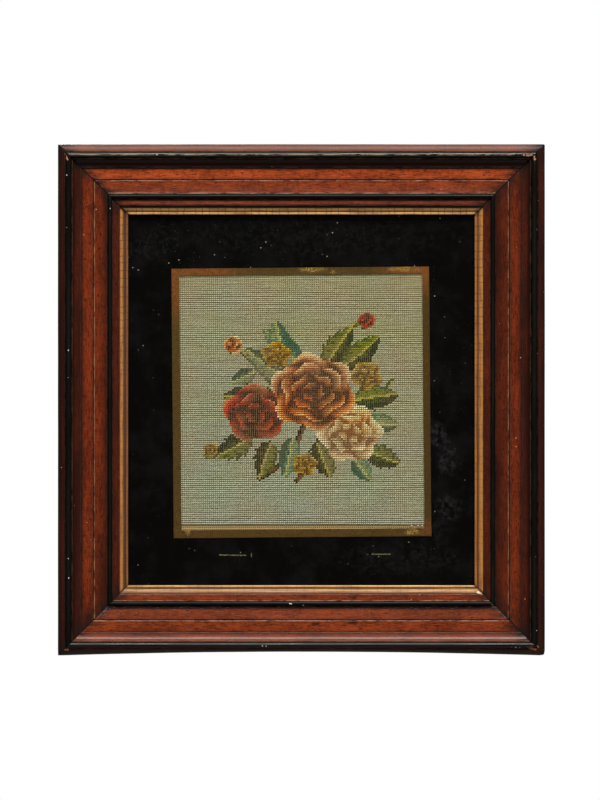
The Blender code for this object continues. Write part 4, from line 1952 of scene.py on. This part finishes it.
@dataclass
class GlassPack:
    """The glass, the paint and leaf behind it, and the board and brads at the back."""

    line_size: Point = (265.0, 277.4)
    tilt: float = math.radians(0.5)
    widths: tuple[float, float, float, float] = (7.9, 6.8, 6.9, 8.0)
    leaf_front: float = 12.9
    leaf_thickness: float = 0.5
    ragged: float = 0.35
    cuts: int = 90
    stroke_depth: float = 0.12
    stroke_cuts: int = 9
    strokes: tuple[Stroke, ...] = (
        Stroke(233.0, 554.9, 27.0, 1.0, 0.8),
        Stroke(251.5, 555.0, 0.8, 4.0, 0.0),
        Stroke(381.0, 554.0, 19.0, 0.8, -0.5),
        Stroke(367.5, 554.4, 2.0, 0.8, 0.0),
    )

    def loop(self, shape: Shape, low: Point, high: Point, shift: float) -> list[bmesh.types.BMEdge]:
        """Draws one ragged rectangle of edges.

        Args:
            shape: Where it is drawn.
            low: Its lower left corner.
            high: Its upper right corner.
            shift: Moves the raggedness, so that no two edges match.

        Returns:
            Its edges.
        """
        places = (low, (high[0], low[1]), high, (low[0], high[1]))
        corners = [shape.verts.new((x, z, 0)) for x, z in places]
        edges = [shape.edges.new((corners[k - 1], corners[k])) for k in (1, 2, 3, 0)]
        cut = bmesh.ops.subdivide_edges(shape, edges=edges, cuts=self.cuts)
        for vertex in (item for item in cut["geom_inner"] if isinstance(item, bmesh.types.BMVert)):
            place = vertex.co * 0.25 + Vector((shift, shift, 0))
            wobble = abs(noise.noise(place) + 0.5 * noise.noise(place * 3.1)) * self.ragged
            if abs(vertex.co.x) > abs(vertex.co.y) * 0.95:
                vertex.co.x -= math.copysign(wobble, vertex.co.x)
            else:
                vertex.co.y -= math.copysign(wobble, vertex.co.y)
        return [edge for edge in shape.edges if edge.is_wire]

    def gilt_line(self) -> Piece:
        """Makes the leaf line with its hand-cut edges.

        Returns:
            The piece.
        """
        shape = bmesh.new()
        width, height = self.line_size[0] / 2, self.line_size[1] / 2
        left, right, top, bottom = self.widths
        outer = self.loop(shape, (-width, -height), (width, height), 4.0)
        both = self.loop(shape, (-width + left, -height + bottom), (width - right, height - top), 9.0)
        bmesh.ops.bridge_loops(shape, edges=list({*outer, *both}))
        thicken(shape, self.leaf_thickness)
        stand(shape, self.leaf_front - self.leaf_thickness, self.tilt)
        mesh = meshed("leaf_line", shape, GoldLeaf("tarnished_leaf"))
        return fit("leaf_line", mesh, "gilt_line")

    def dashes(self) -> Piece:
        """Makes the short strokes where leaf shows through the paint below the window.

        Returns:
            The piece.
        """
        joined = bmesh.new()
        carrier = bpy.data.meshes.new("stroke")
        for across, down, length, width, turn in self.strokes:
            stroke = bmesh.new()
            bmesh.ops.create_cube(stroke, size=1.0)
            size = (length * PIXEL, self.stroke_depth, width * PIXEL)
            bmesh.ops.scale(stroke, vec=size, verts=stroke.verts)
            longest = max(length, width) * PIXEL * 0.9
            edges = [edge for edge in stroke.edges if edge.calc_length() > longest]
            bmesh.ops.subdivide_edges(stroke, edges=edges, cuts=self.stroke_cuts)
            for vertex in stroke.verts:
                wobble = noise.noise(Vector((vertex.co.x * 0.8, down, across)))
                vertex.co.z += 0.25 * min(length, width) * wobble
            place = from_picture(across, down)
            place.y = -self.leaf_front - self.stroke_depth / 2
            turned = Matrix.Translation(place) @ Matrix.Rotation(math.radians(turn), 4, "Y")
            bmesh.ops.transform(stroke, matrix=Matrix.Scale(MM, 4) @ turned, verts=stroke.verts)
            stroke.to_mesh(carrier)
            stroke.free()
            joined.from_mesh(carrier)
        bpy.data.meshes.remove(carrier)
        return fit("leaf_strokes", meshed("leaf_strokes", joined, LeafStroke("leaf_stroke")))

    def dress(self) -> list[Piece]:
        """Finishes the pack's CAD nodes and builds the leaf line.

        Returns:
            The pieces.
        """
        board = PlainTimber(
            "softwood_board",
            light=paint(198, 162, 118),
            dark=paint(150, 108, 70),
            aged=paint(108, 78, 54),
            pores=0.2,
            ageing=(7.0, 4.0, 0.6),
            ageing_range=(0.4, 0.75),
            share=0.45,
            rough=(0.7, 0.88),
            relief=0.5,
            upright_sheet=True,
        )
        finishes = {
            "glass_pane": PictureGlass("picture_glass"),
            "black_coat": BlackPaint("black_back_paint"),
            "backboard": board,
        }
        iron = Iron("dull_iron")
        pieces = []
        for name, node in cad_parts.items():
            finish = iron if name.startswith("brad") else finishes.get(name)
            if finish:
                node.data.materials.clear()
                node.data.materials.append(finish.material())
                pieces.append(node)
        return [*pieces, self.gilt_line(), self.dashes()]


@dataclass
class Studio:
    """The floor, the soft lights and the camera."""

    floor_height: float = -1.7
    floor_size: float = 4.0
    room_light: float = 0.48
    room_in_gloss: float = 0.03
    room_seen: float = 1.0
    lens: float = 300.0
    sensor: float = 36.0
    view_height: float = 0.821
    beam: float = 70.0
    middle: Triple = (-0.0014, -0.035, -0.2333)

    def floor(self) -> None:
        """Lays the floor, which isn't part of the object."""
        shape = bmesh.new()
        bmesh.ops.create_grid(shape, x_segments=8, y_segments=8, size=self.floor_size / 2)
        bmesh.ops.translate(shape, vec=(0, -0.5, self.floor_height), verts=shape.verts)
        put("floor", meshed("floor", shape, PaleFloor("pale_floor")))

    def lamp(self, name: str, at: Triple, size: Point, watts: float, tone: Colour) -> None:
        """Hangs one soft lamp that points at the picture.

        Args:
            name: The lamp's name.
            at: Its place.
            size: Its width and height.
            watts: Its power.
            tone: Its colour.
        """
        light = bpy.data.lights.new(name, "AREA")
        light.shape = "RECTANGLE"
        light.size, light.size_y = size
        light.energy = watts
        light.color = tone[:3]
        light.spread = math.radians(self.beam)
        lamp = put(name, light)
        lamp.location = at
        lamp.rotation_euler = (Vector(self.middle) - Vector(at)).to_track_quat("-Z", "Y").to_euler()

    def surroundings(self) -> None:
        """Sets the pale room, which is dim where the gloss mirrors it."""
        world = bpy.data.worlds.new("room")
        world.use_nodes = True
        world.node_tree.nodes.clear()
        r = Recipe(world.node_tree)
        path = r.add("LightPath").outputs
        white = paint(255, 255, 255)
        plain, dim, seen = (
            r.add("Background", {"Color": white, "Strength": strength}).outputs[0]
            for strength in (self.room_light, self.room_in_gloss, self.room_seen)
        )
        lit = r.add("MixShader", {0: path["Is Glossy Ray"], 1: plain, 2: dim}).outputs[0]
        shown = r.add("MixShader", {0: path["Is Camera Ray"], 1: lit, 2: seen}).outputs[0]
        r.add("OutputWorld", {"Surface": shown})
        bpy.context.scene.world = world

    def camera(self) -> None:
        """Sets the camera straight in front, as the photograph was taken."""
        data = bpy.data.cameras.new("camera")
        data.lens = self.lens
        data.sensor_width = self.sensor
        distance = self.view_height * self.lens / self.sensor
        camera = put("camera", data)
        camera.location = Vector(self.middle) - Vector((0, distance, 0))
        camera.rotation_euler = (math.pi / 2, 0, 0)
        bpy.context.scene.camera = camera

    def dress(self) -> None:
        """Sets the whole studio."""
        self.floor()
        self.surroundings()
        self.lamp("key", (0.5, -2.9, 3.8), (4.0, 1.8), 84.0, paint(255, 252, 246))
        self.lamp("back", (-1.2, 3.6, 1.6), (1.6, 1.6), 24.0, paint(255, 253, 250))
        self.camera()
        bpy.context.scene.view_settings.view_transform = "Standard"


def main() -> None:
    """Builds the picture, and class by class."""
    logging.basicConfig(level=logging.INFO, format="%(message)s")
    for part in (Mouldings(), GlassPack(), Needlework()):
        for piece in part.dress():
            mesh = piece.data
            LOG.info("%s: %d faces, finished with %s", piece.name, len(mesh.polygons), mesh.materials[0].name)
    Studio().dress()


if __name__ == "__main__":
    main()
